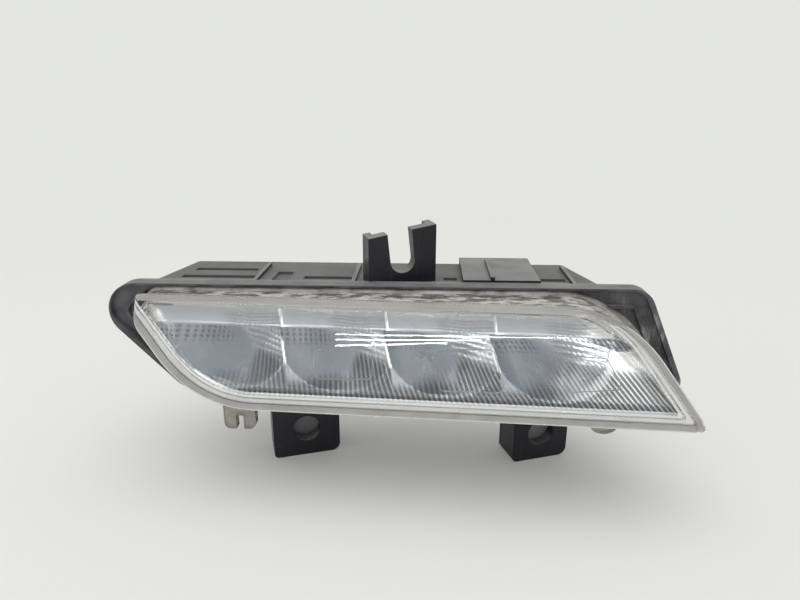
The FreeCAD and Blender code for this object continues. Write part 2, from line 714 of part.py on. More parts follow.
def clamp_places():
    """Places of the screws that clamp reflector and board to the shelf."""
    return [(x, BOWL_FOCUS_Y + CLAMP_BACK - FACE_SWEEP * x) for x in CLAMP_X]


def slanted(x0, x1, front, back, z, thick):
    """Plate whose front edge follows the sweep of the lens."""
    ring = [V(x0, front - FACE_SWEEP * x0, z), V(x1, front - FACE_SWEEP * x1, z),
            V(x1, back, z), V(x0, back, z)]
    return Part.Face(Part.makePolygon(ring + ring[:1])).extrude(UP * thick)


def make_board():
    """LED board under the heat sink's shelf."""
    board = slanted(BOARD_LEFT_X, BOARD_RIGHT_X, BOARD_FRONT_Y, BOARD_BACK_Y, BOARD_Z, BOARD_T)
    holes = [rod(CLAMP_SCREW_R + SCREW_CLEAR, BOARD_T + 2, V(x, y, BOARD_Z - 1), UP)
             for x, y in clamp_places()]
    return board.cut(Part.makeCompound(holes))


def make_led(focus):
    """One LED: square base with a round dome, facing down."""
    half = LED_W / 2
    base = box(focus.x - half, focus.x + half, focus.y - half, focus.y + half,
               BOARD_Z - LED_BASE_T, BOARD_Z)
    dome = rod(LED_DOME_R, LED_H - LED_BASE_T, V(focus.x, focus.y, LED_Z), UP)
    return base.fuse(dome)


def make_heat_sink():
    """Cast heat sink: shelf inside the body, plate and fins behind it."""
    shelf = slanted(BOARD_LEFT_X, BOARD_RIGHT_X, BOARD_FRONT_Y, SINK_Y, SHELF_Z, SHELF_T)
    back = box(SINK_LEFT_X, SINK_RIGHT_X, SINK_Y, SINK_Y + SINK_PLATE_T,
               SINK_BOTTOM_Z, SINK_TOP_Z)
    first, last = SINK_LEFT_X + FIN_END_IN, SINK_RIGHT_X - FIN_END_IN - FIN_T
    fins = []
    for i in range(FIN_COUNT):
        x = first + (last - first) * i / (FIN_COUNT - 1)
        fins.append(box(x, x + FIN_T, SINK_Y + SINK_PLATE_T / 2,
                        SINK_Y + SINK_PLATE_T + FIN_DEPTH,
                        SINK_BOTTOM_Z, SINK_TOP_Z - FIN_TOP_IN))
    holes = [rod(SCREW_R + SCREW_CLEAR, SINK_PLATE_T + 2, V(x, SINK_Y - 1, z), V(0, 1, 0))
             for x, z in SINK_SCREWS]
    holes += [rod(CLAMP_SCREW_R + SCREW_CLEAR, SHELF_T + 2, V(x, y, SHELF_Z - 1), UP)
              for x, y in clamp_places()]
    return fuse([shelf, back] + fins).cut(Part.makeCompound(holes))


def make_gasket():
    """Flat gasket between the body's back and the heat sink's plate."""
    pad = box(SINK_LEFT_X, SINK_RIGHT_X, BODY_DEPTH, SINK_Y, SINK_BOTTOM_Z, SINK_TOP_Z)
    window = box(BOARD_LEFT_X - WINDOW_CLEAR, BOARD_RIGHT_X + WINDOW_CLEAR,
                 BODY_DEPTH - 1, SINK_Y + 1, SHELF_Z - WINDOW_CLEAR, SHELF_TOP_Z + WINDOW_CLEAR)
    holes = [rod(SCREW_R + SCREW_CLEAR, GASKET_T + 2, V(x, BODY_DEPTH - 1, z), V(0, 1, 0))
             for x, z in SINK_SCREWS]
    return pad.cut(Part.makeCompound([window] + holes))


def screw(radius, length, head_r, head_h, seat, direction):
    """Pan-head screw: the head seats at a place, the shank runs on from it."""
    shank = rod(radius, length, seat, direction)
    head = rod(head_r, head_h, seat - direction * head_h, direction)
    drive = rod(head_r * 0.45, head_h * 0.5, seat - direction * head_h, direction)
    return shank.fuse(head).cut(drive)


def make_sink_screws():
    """Screws that hold the heat sink to the housing."""
    face = SINK_Y + SINK_PLATE_T
    run = SCREW_L + SINK_PLATE_T + GASKET_T
    return Part.makeCompound([
        screw(SCREW_R, run, SCREW_HEAD_R, SCREW_HEAD_H, V(x, face, z), V(0, -1, 0))
        for x, z in SINK_SCREWS])


def make_clamp_screws():
    """Screws that clamp the reflector and the board up to the shelf."""
    run = SHELF_TOP_Z - DECK_Z
    return Part.makeCompound([
        screw(CLAMP_SCREW_R, run, CLAMP_HEAD_R, CLAMP_HEAD_H, V(x, y, DECK_Z), UP)
        for x, y in clamp_places()])


def make_terminal(x):
    """Bent terminal from the socket up to the board."""
    half = PIN_W / 2
    low = SOCKET_Z - PIN_T / 2
    tip = BODY_DEPTH + PIN_OUT
    flat_run = box(x - half, x + half, PIN_IN_Y, tip, low, low + PIN_T)
    leg = box(x - half, x + half, PIN_IN_Y, PIN_IN_Y + PIN_T, low, BOARD_Z)
    edges = [e for e in flat_run.Edges
             if abs(e.CenterOfMass.y - tip) < 1e-6 and abs(e.CenterOfMass.x - x) < 1e-6]
    return flat_run.makeChamfer(PIN_T * 0.3, edges).fuse(leg).removeSplitter()


def make_vent():
    """Breather: the film on the neck and the cap over it."""
    end = BODY_DEPTH + VENT_NECK_H
    film = rod(VENT_NECK_R, VENT_FILM_T, V(VENT_X, end, VENT_Z), V(0, 1, 0))
    start = BODY_DEPTH + VENT_CLEAR
    top = end + VENT_FILM_T + VENT_CAP_T
    cap = rod(VENT_CAP_R, top - start, V(VENT_X, start, VENT_Z), V(0, 1, 0))
    rims = [e for e in cap.Edges if abs(e.CenterOfMass.y - top) < 1e-6]
    cap = cap.makeFillet(VENT_CAP_T * 0.6, rims)
    inside = rod(VENT_NECK_R + VENT_CLEAR, top - start - VENT_CAP_T,
                 V(VENT_X, start, VENT_Z), V(0, 1, 0))
    return film, cap.cut(inside)


def make_driver_parts():
    """Parts of the driver on the board's underside, behind the bowls."""
    y = PARTS_Y
    half = CHIP_W / 2
    chip = box(CHIP_X - half, CHIP_X + half, y - half, y + half, BOARD_Z - CHIP_T, BOARD_Z)
    choke = rod(CHOKE_R, CHOKE_H, V(CHOKE_X, y, BOARD_Z - CHOKE_H), UP)
    waist = rod(CHOKE_R + 1, CHOKE_H * 0.6, V(CHOKE_X, y, BOARD_Z - CHOKE_H * 0.8), UP)
    waist = waist.cut(rod(CHOKE_R * 0.78, CHOKE_H, V(CHOKE_X, y, BOARD_Z - CHOKE_H), UP))
    diode = box(DIODE_X - DIODE_L / 2, DIODE_X + DIODE_L / 2, y - DIODE_W / 2, y + DIODE_W / 2,
                BOARD_Z - DIODE_T, BOARD_Z)
    can = rod(CAPACITOR_R, CAPACITOR_H, V(CAPACITOR_X, y, BOARD_Z - CAPACITOR_H), UP)
    resistors = []
    for i in range(RESISTOR_COUNT):
        x = RESISTOR_X + i * RESISTOR_STEP
        resistors.append(box(x - RESISTOR_W / 2, x + RESISTOR_W / 2,
                             y - RESISTOR_L / 2, y + RESISTOR_L / 2,
                             BOARD_Z - RESISTOR_T, BOARD_Z))
    return {
        "driver_chip": chip,
        "choke_coil": choke.cut(waist),
        "input_diode": diode,
        "filter_capacitor": can,
        "sense_resistors": Part.makeCompound(resistors),
    }


def build():
    """Make every piece of the lamp, by node name."""
    film, cap = make_vent()
    pieces = {
        "housing": make_housing(),
        "outer_lens": make_outer_lens(),
        "sealant_bead": make_sealant(),
        "reflector": make_reflector(),
        "led_board": make_board(),
        "heat_sink": make_heat_sink(),
        "sink_gasket": make_gasket(),
        "sink_screws": make_sink_screws(),
        "clamp_screws": make_clamp_screws(),
        "vent_film": film,
        "vent_cap": cap,
    }
    for i, focus in enumerate(FOCI, 1):
        pieces["led_%d" % i] = make_led(focus)
    for i, x in enumerate(PIN_X, 1):
        pieces["terminal_%d" % i] = make_terminal(x)
    pieces.update(make_driver_parts())
    return pieces


def main():
    """Move the lamp onto its origin and write each piece."""
    pieces = build()
    limits = FreeCAD.BoundBox()
    for shape in pieces.values():
        limits.add(shape.optimalBoundingBox(False, False))
    shift = V(-limits.Center.x, -limits.Center.y, -limits.ZMin)
    os.makedirs("parts", exist_ok=True)
    for name, shape in pieces.items():
        shape.translate(shift)
        shape.exportStep("parts/%s.step" % name)
        print("%-18s solids %2d  valid %s  volume %10.1f" % (
            name, len(shape.Solids), shape.isValid(), shape.Volume))
    print("shift", shift, "size", limits.XLength, limits.YLength, limits.ZLength)


main()
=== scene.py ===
"""Looks of an auxiliary driving lamp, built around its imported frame.

The housing, heat sink and the small parts keep their frame shapes and get finishes
here.  The lens, reflector and sealant joint are modelled again with their steps,
flutes, pillows and squeeze-out, and thin webs are added inside the feet.  Sizes in
the classes are millimetres in the lamp's own axes: x along the lamp, y from the
lens back, z up from the feet.
"""

from __future__ import annotations

import logging
import math
from dataclasses import dataclass, field
from enum import Enum
from functools import partial, reduce
from typing import Any, Sequence

import bpy
import numpy as np
from mathutils import Matrix, Vector

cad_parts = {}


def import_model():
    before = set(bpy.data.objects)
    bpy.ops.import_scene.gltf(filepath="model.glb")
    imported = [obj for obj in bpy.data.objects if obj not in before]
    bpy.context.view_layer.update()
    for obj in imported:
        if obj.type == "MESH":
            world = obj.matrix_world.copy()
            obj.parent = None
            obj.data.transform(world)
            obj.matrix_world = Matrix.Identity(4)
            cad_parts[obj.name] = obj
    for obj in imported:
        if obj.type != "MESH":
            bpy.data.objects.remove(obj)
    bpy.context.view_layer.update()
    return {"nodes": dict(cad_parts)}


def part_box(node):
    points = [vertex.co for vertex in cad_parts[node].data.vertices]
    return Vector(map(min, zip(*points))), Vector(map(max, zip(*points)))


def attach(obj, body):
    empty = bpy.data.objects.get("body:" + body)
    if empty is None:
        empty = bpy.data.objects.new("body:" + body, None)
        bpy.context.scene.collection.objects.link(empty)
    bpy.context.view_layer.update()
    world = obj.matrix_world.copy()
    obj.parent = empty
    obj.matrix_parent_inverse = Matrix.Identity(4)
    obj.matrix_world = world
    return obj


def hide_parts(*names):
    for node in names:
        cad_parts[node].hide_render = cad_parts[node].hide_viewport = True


LOG = logging.getLogger("driving_lamp")
MM = 0.001
CORNER_STEPS, SIDE_SPANS, FINE_STEPS = 14, 30, 220
Colour = tuple[float, float, float]
Span = tuple[float, float]
Array = np.ndarray
Values = float | Array
Piece = bpy.types.Object
Material = bpy.types.Material
Tree, Node, Socket = bpy.types.NodeTree, bpy.types.Node, bpy.types.NodeSocket


def smooth(low: float, high: float, value: Array) -> Array:
    """Smooth step from 0 at low to 1 at high."""
    share = np.clip((value - low) / (high - low), 0, 1)
    return share * share * (3 - 2 * share)


def hump(value: Array, width: float) -> Array:
    """Bell of height 1 round zero."""
    return np.exp(-(value / width) ** 2)


def wave(turns: Array) -> Array:
    """Row of round crests: 1 at whole numbers, 0 halfway between."""
    return np.abs(np.cos(math.pi * turns))


def graded(stops: Sequence[float], counts: Sequence[int]) -> Array:
    """Points from stop to stop, with a count for each stretch."""
    parts = [np.linspace(*ends) for ends in zip(stops, stops[1:], counts)]
    return np.concatenate([parts[0], *(part[1:] for part in parts[1:])])


def lay(ring: Array, depth: Values) -> Array:
    """Points of an (x, z) ring at a depth."""
    return np.stack([ring[:, 0], np.broadcast_to(depth, len(ring)), ring[:, 1]], 1)


@dataclass(frozen=True)
class Zone:
    """Soft-edged zone that rises over one span and falls over another."""

    rise: Span | None = None
    fall: Span | None = None

    def at(self, value: Array) -> Array:
        """Share of the zone at places, from 0 to 1."""
        share = np.ones_like(value) if self.rise is None else smooth(*self.rise, value)
        return share if self.fall is None else share * (1 - smooth(*self.fall, value))


@dataclass
class LampAxes:
    """Axes of the lamp and the raked plane of its lens face."""

    turn: float = 18.5
    sweep: float = 0.06
    rake: float = 0.32
    reach: float = 9.8
    lens_top: float = 62.9
    led_x: float = -57.8
    led_y: float = 2.5
    shift: Array = field(default_factory=lambda: np.zeros(3))

    def find_shift(self) -> None:
        """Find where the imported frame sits, from the place of its first LED."""
        low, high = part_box("led_1")
        middle = (np.array(low) + np.array(high)) / 2 / MM
        self.shift[0] = middle[0] - self.led_x
        self.shift[1] = middle[1] - (self.led_y - self.sweep * self.led_x)

    def face_y(self, x: Values, z: Values, back: float) -> Values:
        """Depth of the lens face at places, or of a face that lies behind it."""
        return -self.reach - self.sweep * x - self.rake * (self.lens_top - z) + back

    def on_face(self, ring: Array, back: float) -> Array:
        """Points of an (x, z) ring laid on the lens face."""
        return lay(ring, self.face_y(ring[:, 0], ring[:, 1], back))

    def metres(self, points: Array) -> Array:
        """Points of the lamp's axes in the frame's metres."""
        return (np.asarray(points, float) + self.shift) * MM

    @property
    def cos_t(self) -> float:
        """Cosine of the turn between the lamp and the car."""
        return math.cos(math.radians(self.turn))

    @property
    def sin_t(self) -> float:
        """Sine of the turn between the lamp and the car."""
        return math.sin(math.radians(self.turn))

    def aside(self, x: Array, y: Array) -> Array:
        """Place across the car's axis."""
        return self.cos_t * x + self.sin_t * y

    def ahead(self, x: Array, y: Array) -> Array:
        """Place along the car's axis."""
        return self.sin_t * x - self.cos_t * y


@dataclass(frozen=True)
class Outline:
    """Rounded outline seen from the front."""

    corners: tuple[Span, ...]
    radii: tuple[float, ...]

    def inset(self, margins: Sequence[float] | float, floor: float = 0.5) -> "Outline":
        """Move every side inward.

        Args:
            margins: one distance for all sides, or one for each.
            floor: smallest corner radius.

        Returns:
            The smaller outline.
        """
        corners = np.array(self.corners)
        count = len(corners)
        each = np.broadcast_to(np.asarray(margins, float), count)
        run = np.roll(corners, -1, axis=0) - corners
        normal = np.stack([run[:, 1], -run[:, 0]], 1) / np.linalg.norm(run, axis=1)[:, None]
        toward = ((corners.mean(axis=0) - corners) * normal).sum(1)
        normal *= np.where(toward < 0, -1.0, 1.0)[:, None]
        reach = (normal * corners).sum(1) + each
        pairs = [[i - 1, i] for i in range(count)]
        moved = tuple(tuple(np.linalg.solve(normal[pair], reach[pair])) for pair in pairs)
        radii = tuple(max(floor, r - max(each[pair])) for r, pair in zip(self.radii, pairs))
        return Outline(moved, radii)

    def arcs(self, steps: int) -> list[Array]:
        """Points of each rounded corner, in order.

        Args:
            steps: number of spans on each corner.

        Returns:
            One array of points for each corner.
        """
        found = []
        count = len(self.corners)
        for i, radius in enumerate(self.radii):
            here = np.array(self.corners[i])
            legs = [np.array(self.corners[j % count]) - here for j in (i - 1, i + 1)]
            legs = [leg / np.linalg.norm(leg) for leg in legs]
            half = math.acos(float(np.clip(legs[0] @ legs[1], -1, 1))) / 2
            bisector = (legs[0] + legs[1]) / np.linalg.norm(legs[0] + legs[1])
            centre = here + bisector * radius / math.sin(half)
            ends = [here + leg * radius / math.tan(half) - centre for leg in legs]
            start, end = (math.atan2(spot[1], spot[0]) for spot in ends)
            sweep = (end - start + math.pi) % (2 * math.pi) - math.pi
            angles = start + sweep * np.linspace(0, 1, steps + 1)
            found.append(centre + radius * np.stack([np.cos(angles), np.sin(angles)], 1))
        return found

    def ring(self, steps: int = CORNER_STEPS, spans: int = SIDE_SPANS) -> Array:
        """The whole outline as points with the same count for every inset.

        Args:
            steps: spans on each corner.
            spans: spans on each straight side.

        Returns:
            Array of (x, z) points.
        """
        arcs = self.arcs(steps)
        share = np.linspace(0, 1, spans + 1)[1:-1, None]
        points = []
        for arc, following in zip(arcs, arcs[1:] + arcs[:1]):
            points += [arc, arc[-1] + (following[0] - arc[-1]) * share]
        return np.concatenate(points)

    def limits(self, z: Array) -> list[Array]:
        """Left and right ends of the outline at heights.

        Args:
            z: heights inside the outline.

        Returns:
            The left and the right x.
        """
        arcs = self.arcs(FINE_STEPS)
        ends = []
        for side in (arcs[3:] + arcs[:1], arcs[1:3]):
            edge = np.concatenate(side)
            edge = edge[np.argsort(edge[:, 1])]
            ends.append(np.interp(z, edge[:, 1], edge[:, 0]))
        return ends

    def edge_distance(self, x: Array, z: Array) -> Array:
        """Distance from places to the outline's edge.

        Args:
            x: places along the lamp.
            z: heights.

        Returns:
            The distances.
        """
        ring = self.ring(40, 4)
        best = np.full(x.shape, 1e9)
        for a, run in zip(ring, np.roll(ring, -1, axis=0) - ring):
            size = max(run @ run, 1e-9)
            share = np.clip(((x - a[0]) * run[0] + (z - a[1]) * run[1]) / size, 0, 1)
            gap = np.hypot(x - a[0] - share * run[0], z - a[1] - share * run[1])
            best = np.minimum(best, gap)
        return best


def mesh_object(name: str, points: Array, faces: list[tuple[int, ...]],
                sharp: float = 40.0) -> Piece:
    """Make a smooth-shaded mesh object.

    Args:
        name: name of the object and its mesh.
        points: places in metres.
        faces: corner numbers of each face.
        sharp: angle in degrees above which an edge stays sharp.

    Returns:
        The new object, linked to the scene.
    """
    mesh = bpy.data.meshes.new(name)
    mesh.from_pydata(np.asarray(points).tolist(), [], faces)
    mesh.polygons.foreach_set("use_smooth", [True] * len(mesh.polygons))
    mesh.set_sharp_from_angle(angle=math.radians(sharp))
    mesh.update()
    made = bpy.data.objects.new(name, mesh)
    bpy.context.scene.collection.objects.link(made)
    return made


class Shape(Enum):
    """Node types that the finishes use, by plain name."""

    NOISE = "ShaderNodeTexNoise"
    MIX = "ShaderNodeMix"
    MATH = "ShaderNodeMath"
    BUMP = "ShaderNodeBump"
    PLACE = "ShaderNodeTexCoord"
    STRETCH = "ShaderNodeMapping"
    GEOMETRY = "ShaderNodeNewGeometry"
    ATTRIBUTE = "ShaderNodeAttribute"
    SPLIT = "ShaderNodeSeparateXYZ"
    VECTOR = "ShaderNodeVectorMath"
    RANGE = "ShaderNodeMapRange"
    BEVEL = "ShaderNodeBevel"
    GLOW = "ShaderNodeEmission"
    RAY = "ShaderNodeLightPath"
    MIX_SHADER = "ShaderNodeMixShader"
    GROUP = "ShaderNodeGroup"
    GIVEN = "NodeGroupInput"
    RESULT = "NodeGroupOutput"


class Graph:
    """Small helper that places and joins nodes in one tree."""

    def __init__(self, tree: Tree) -> None:
        """Start on a tree."""
        self.tree = tree

    def add(self, kind: Shape, inputs: dict[Any, Any] | None = None,
            **settings: Any) -> Node:
        """Place a node.

        Args:
            kind: type of the node.
            inputs: sockets or values for its inputs, by name or number.
            settings: its attributes.

        Returns:
            The node.
        """
        node = self.tree.nodes.new(kind.value)
        for key, value in settings.items():
            setattr(node, key, value)
        self.supply(node, inputs or {})
        return node

    def supply(self, node: Node, inputs: dict[Any, Any]) -> None:
        """Link sockets to a node's inputs, or set plain values.

        Args:
            node: node to supply.
            inputs: sockets or values, by name or number of the input.
        """
        for key, value in inputs.items():
            if isinstance(value, Socket):
                self.tree.links.new(value, node.inputs[key])
            else:
                node.inputs[key].default_value = value

    def math(self, operation: str, a: Any, b: Any = 0.0) -> Socket:
        """Result of one arithmetic node."""
        return self.add(Shape.MATH, {0: a, 1: b}, operation=operation).outputs[0]

    def product(self, *values: Any) -> Socket:
        """Product of sockets and numbers."""
        return reduce(partial(self.math, "MULTIPLY"), values)

    def vector(self, operation: str, inputs: dict[Any, Any]) -> Socket:
        """Result of one vector node."""
        return self.add(Shape.VECTOR, inputs, operation=operation).outputs["Vector"]

    def split(self, source: Socket | None = None) -> Any:
        """Parts of a vector, or of the object's own coordinates."""
        source = source or self.add(Shape.PLACE).outputs["Object"]
        return self.add(Shape.SPLIT, {0: source}).outputs

    def between(self, value: Any, low: float, high: float, to_low: float = 0.0,
                to_high: float = 1.0) -> Socket:
        """Smoothly map a value from one range to another."""
        inputs = dict(enumerate((value, low, high, to_low, to_high)))
        return self.add(Shape.RANGE, inputs, interpolation_type="SMOOTHSTEP").outputs[0]

    def blend(self, share: Any, a: Any, b: Any) -> Socket:
        """Mix two colours."""
        a, b = ((*side, 1.0) if isinstance(side, tuple) else side for side in (a, b))
        return self.add(Shape.MIX, {0: share, 6: a, 7: b}, data_type="RGBA").outputs[2]

    def noise(self, scale: Any, detail: float = 3.0, rough: float = 0.55,
              stretch: Colour = (1.0, 1.0, 1.0),
              turn: Colour = (0.0, 0.0, 0.0)) -> Socket:
        """Noise over the object's own coordinates.

        Args:
            scale: noise cells in each metre.
            detail: number of octaves.
            rough: weight of the finer octaves.
            stretch: scale of each axis.
            turn: turn about each axis.

        Returns:
            Socket of the noise value.
        """
        place = self.add(Shape.PLACE).outputs["Object"]
        fit = self.add(Shape.STRETCH, {"Vector": place, "Rotation": turn, "Scale": stretch})
        return self.add(Shape.NOISE, {"Vector": fit.outputs["Vector"], "Scale": scale,
                                      "Detail": detail, "Roughness": rough}).outputs[0]

    def bump(self, height: Any, strength: float, distance: float,
             normal: Socket | None = None) -> Socket:
        """Normal of a bumped surface, from its own normal or another."""
        inputs = {"Height": height, "Strength": strength, "Distance": distance}
        return self.add(Shape.BUMP, inputs | ({"Normal": normal} if normal else {})).outputs[0]


class Effect(Enum):
    """Shared surface effects, each built once as a node group."""

    GRAIN = "moulded_grain"
    DUST = "settled_dust"
    SCRATCH = "fine_scratches"


class EffectShelf:
    """Builds the shared effects and hands them to the finishes."""

    def __init__(self) -> None:
        """Build all groups."""
        self.groups = {Effect.GRAIN: self.grain(), Effect.DUST: self.dust(),
                       Effect.SCRATCH: self.scratch()}

    @staticmethod
    def start(effect: Effect, inputs: dict[str, float],
              output: str) -> tuple[Graph, Any, Node]:
        """Open a group with named sockets.

        Args:
            effect: which effect.
            inputs: names and defaults of its inputs.
            output: name of its output.

        Returns:
            The group's helper, what it is given and the node of its result.
        """
        tree = bpy.data.node_groups.new(effect.value, "ShaderNodeTree")
        for name, value in inputs.items():
            socket = tree.interface.new_socket(name, in_out="INPUT", socket_type="NodeSocketFloat")
            socket.default_value = value
        tree.interface.new_socket(output, in_out="OUTPUT", socket_type="NodeSocketFloat")
        graph = Graph(tree)
        return graph, graph.add(Shape.GIVEN).outputs, graph.add(Shape.RESULT)

    def grain(self) -> Tree:
        """Fine moulded or cast grain with a coarser swell.

        Returns:
            The group's tree.
        """
        graph, given, result = self.start(Effect.GRAIN, {"Scale": 2500.0, "Swell": 0.3}, "Height")
        fine = graph.noise(given["Scale"], 4.0, 0.5)
        coarse = graph.noise(graph.product(given["Scale"], 0.06), 2.0, 0.5)
        height = graph.math("ADD", fine, graph.product(coarse, given["Swell"]))
        graph.supply(result, {"Height": height})
        return graph.tree

    def dust(self) -> Tree:
        """Dust that lies on upward faces and thins in patches.

        Returns:
            The group's tree.
        """
        graph, given, result = self.start(Effect.DUST, {"Amount": 0.5, "Patch": 90.0}, "Mask")
        normal = graph.split(graph.add(Shape.GEOMETRY).outputs["Normal"])
        up = graph.between(normal["Z"], 0.15, 0.9)
        spread = graph.between(graph.noise(given["Patch"], 6.0, 0.5), 0.25, 0.75, 0.65, 1.0)
        graph.supply(result, {"Mask": graph.product(up, spread, given["Amount"])})
        return graph.tree

    def scratch(self) -> Tree:
        """Sparse fine scratches along two directions.

        Returns:
            The group's tree.
        """
        graph, given, result = self.start(Effect.SCRATCH, {"Amount": 0.4, "Scale": 180.0}, "Mask")
        masks = []
        for stretch in ((0.12, 1.0, 2.2), (1.6, 0.8, 0.1)):
            streaks = graph.noise(given["Scale"], 8.0, 0.5, stretch, (0.3, 0.2, 0.5))
            masks.append(graph.between(streaks, 0.62, 0.7))
        both = graph.math("MAXIMUM", *masks)
        graph.supply(result, {"Mask": graph.product(both, given["Amount"])})
        return graph.tree

    def use(self, graph: Graph, effect: Effect, **values: float) -> Socket:
        """Place an effect in a material, with values for its named inputs."""
        return graph.add(Shape.GROUP, values, node_tree=self.groups[effect]).outputs[0]


def new_material(name: str) -> tuple[Material, Graph, Node]:
    """Open a material.

    Args:
        name: name of the material.

    Returns:
        The material, its helper and its shader node.
    """
    material = bpy.data.materials.new(name)
    material.use_nodes = True
    return material, Graph(material.node_tree), material.node_tree.nodes["Principled BSDF"]


@dataclass(frozen=True)
class Finish:
    """A solid finish: colour patches, grain, dust, scratches and gloss."""

    name: str
    colour: Colour
    second: Colour
    roughness: Span = (0.4, 0.55)
    metallic: float = 0.0
    specular: float = 0.5
    patch: float = 60.0
    grain: float = 2600.0
    relief: float = 0.00003
    dust: float = 0.0
    dust_colour: Colour = (0.42, 0.42, 0.40)
    scratches: float = 0.15
    scratch_colour: Colour = (0.3, 0.3, 0.3)
    edge: float = 0.0

    def build(self, shelf: EffectShelf) -> Material:
        """Make the material.

        Args:
            shelf: the shared effects.

        Returns:
            The finished material.
        """
        material, graph, shader = new_material(self.name)
        tone = graph.between(graph.noise(self.patch, 5.0), 0.3, 0.7)
        colour = graph.blend(tone, self.colour, self.second)
        marks = shelf.use(graph, Effect.SCRATCH, Amount=self.scratches)
        colour = graph.blend(marks, colour, self.scratch_colour)
        rough = graph.between(graph.noise(self.patch * 1.7, 4.0), 0.25, 0.75, *self.roughness)
        if self.dust > 0:
            dust = shelf.use(graph, Effect.DUST, Amount=self.dust)
            colour = graph.blend(dust, colour, self.dust_colour)
            rough = graph.math("ADD", rough, graph.product(dust, 0.2))
        bevel = None
        if self.edge > 0:
            bevel = graph.add(Shape.BEVEL, {"Radius": self.edge}).outputs[0]
        grain = shelf.use(graph, Effect.GRAIN, Scale=self.grain)
        graph.supply(shader, {"Metallic": self.metallic, "Specular IOR Level": self.specular,
                              "Base Color": colour, "Roughness": rough,
                              "Normal": graph.bump(grain, 0.6, self.relief, bevel)})
        return material


@dataclass(frozen=True)
class ClearFinish(Finish):
    """Clear moulding, from polished to milky."""

    ior: float = 1.52
    transmission: float = 1.0
    strength: float = 0.35
    run: Colour = (1.0, 1.0, 1.0)
    bounds: Span = (0.3, 0.7)

    def build(self, shelf: EffectShelf) -> Material:
        """Make the lens material.

        Args:
            shelf: the shared effects.

        Returns:
            The finished material.
        """
        material, graph, shader = new_material(self.name)
        patches = graph.noise(self.patch * 2.0, 4.0, stretch=self.run)
        colour = graph.blend(graph.between(patches, *self.bounds), self.colour, self.second)
        marks = shelf.use(graph, Effect.SCRATCH, Amount=self.scratches)
        rough = graph.between(graph.noise(self.patch * 3.0, 4.0), 0.3, 0.7, *self.roughness)
        rough = graph.math("ADD", rough, graph.product(marks, 0.12))
        normal = graph.bump(graph.noise(self.patch), self.strength, self.relief)
        graph.supply(shader, {"Transmission Weight": self.transmission, "IOR": self.ior,
                              "Base Color": colour, "Roughness": rough, "Normal": normal})
        return material


@dataclass(frozen=True)
class HousingFinish(Finish):
    """Black moulding with a dull film, painted fill light in the groove and wear on the flange."""

    film_y: float = 2.0
    film_fade: Span = (1.5, 0.6)
    film: Colour = (0.135, 0.134, 0.140)
    film_top: float = 65.6
    groove: Span = (62.4, 63.45)
    groove_fade: Span = (0.1, 0.05)
    # Painted fill light that lifts the shade on the groove floors of the top.
    groove_fill_light: Colour = (0.12, 0.12, 0.115)
    wear_x: Span = (62.0, 70.0)
    wear: Colour = (0.42, 0.41, 0.40)

    def build_for(self, shelf: EffectShelf, axes: LampAxes) -> Material:
        """Make the housing material.

        Args:
            shelf: the shared effects.
            axes: axes that place the flange.

        Returns:
            The finished material.
        """
        material = self.build(shelf)
        graph = Graph(material.node_tree)
        shader = material.node_tree.nodes["Principled BSDF"]
        plain = shader.inputs["Base Color"].links[0].from_socket
        place = graph.split()

        def span(axis: int, low: float, high: float, *to: float) -> Socket:
            """Step along one axis of the lamp."""
            ends = [(end + axes.shift[axis]) * MM for end in (low, high)]
            return graph.between(place[axis], *ends, *to)

        edge, top, (low, high) = self.film_y, self.film_top, self.groove
        front = graph.product(span(1, edge, edge + self.film_fade[0], 1.0, 0.0),
                              span(2, top, top + self.film_fade[1], 1.0, 0.0))
        # Painted fill light: the groove floors behind the flange are lightened where shade falls.
        groove = graph.product(span(2, low - self.groove_fade[0], low),
                               span(2, high, high + self.groove_fade[1], 1.0, 0.0),
                               span(1, edge + 2.0, edge + 3.0))
        patches = graph.between(graph.noise(130.0, 6.0, 0.65), 0.3, 0.7, 0.25, 1.0)
        streaks = graph.noise(150.0, 6.0, 0.65, (1.0, 1.0, 0.3))
        rubbed = graph.between(streaks, 0.52, 0.66, 0.0, 0.75)
        colour = graph.blend(graph.product(front, patches), plain, self.film)
        colour = graph.blend(groove, colour, self.groove_fill_light)
        worn = graph.product(rubbed, span(0, *self.wear_x), front)
        colour = graph.blend(worn, colour, self.wear)
        graph.supply(shader, {"Base Color": colour})
        return material


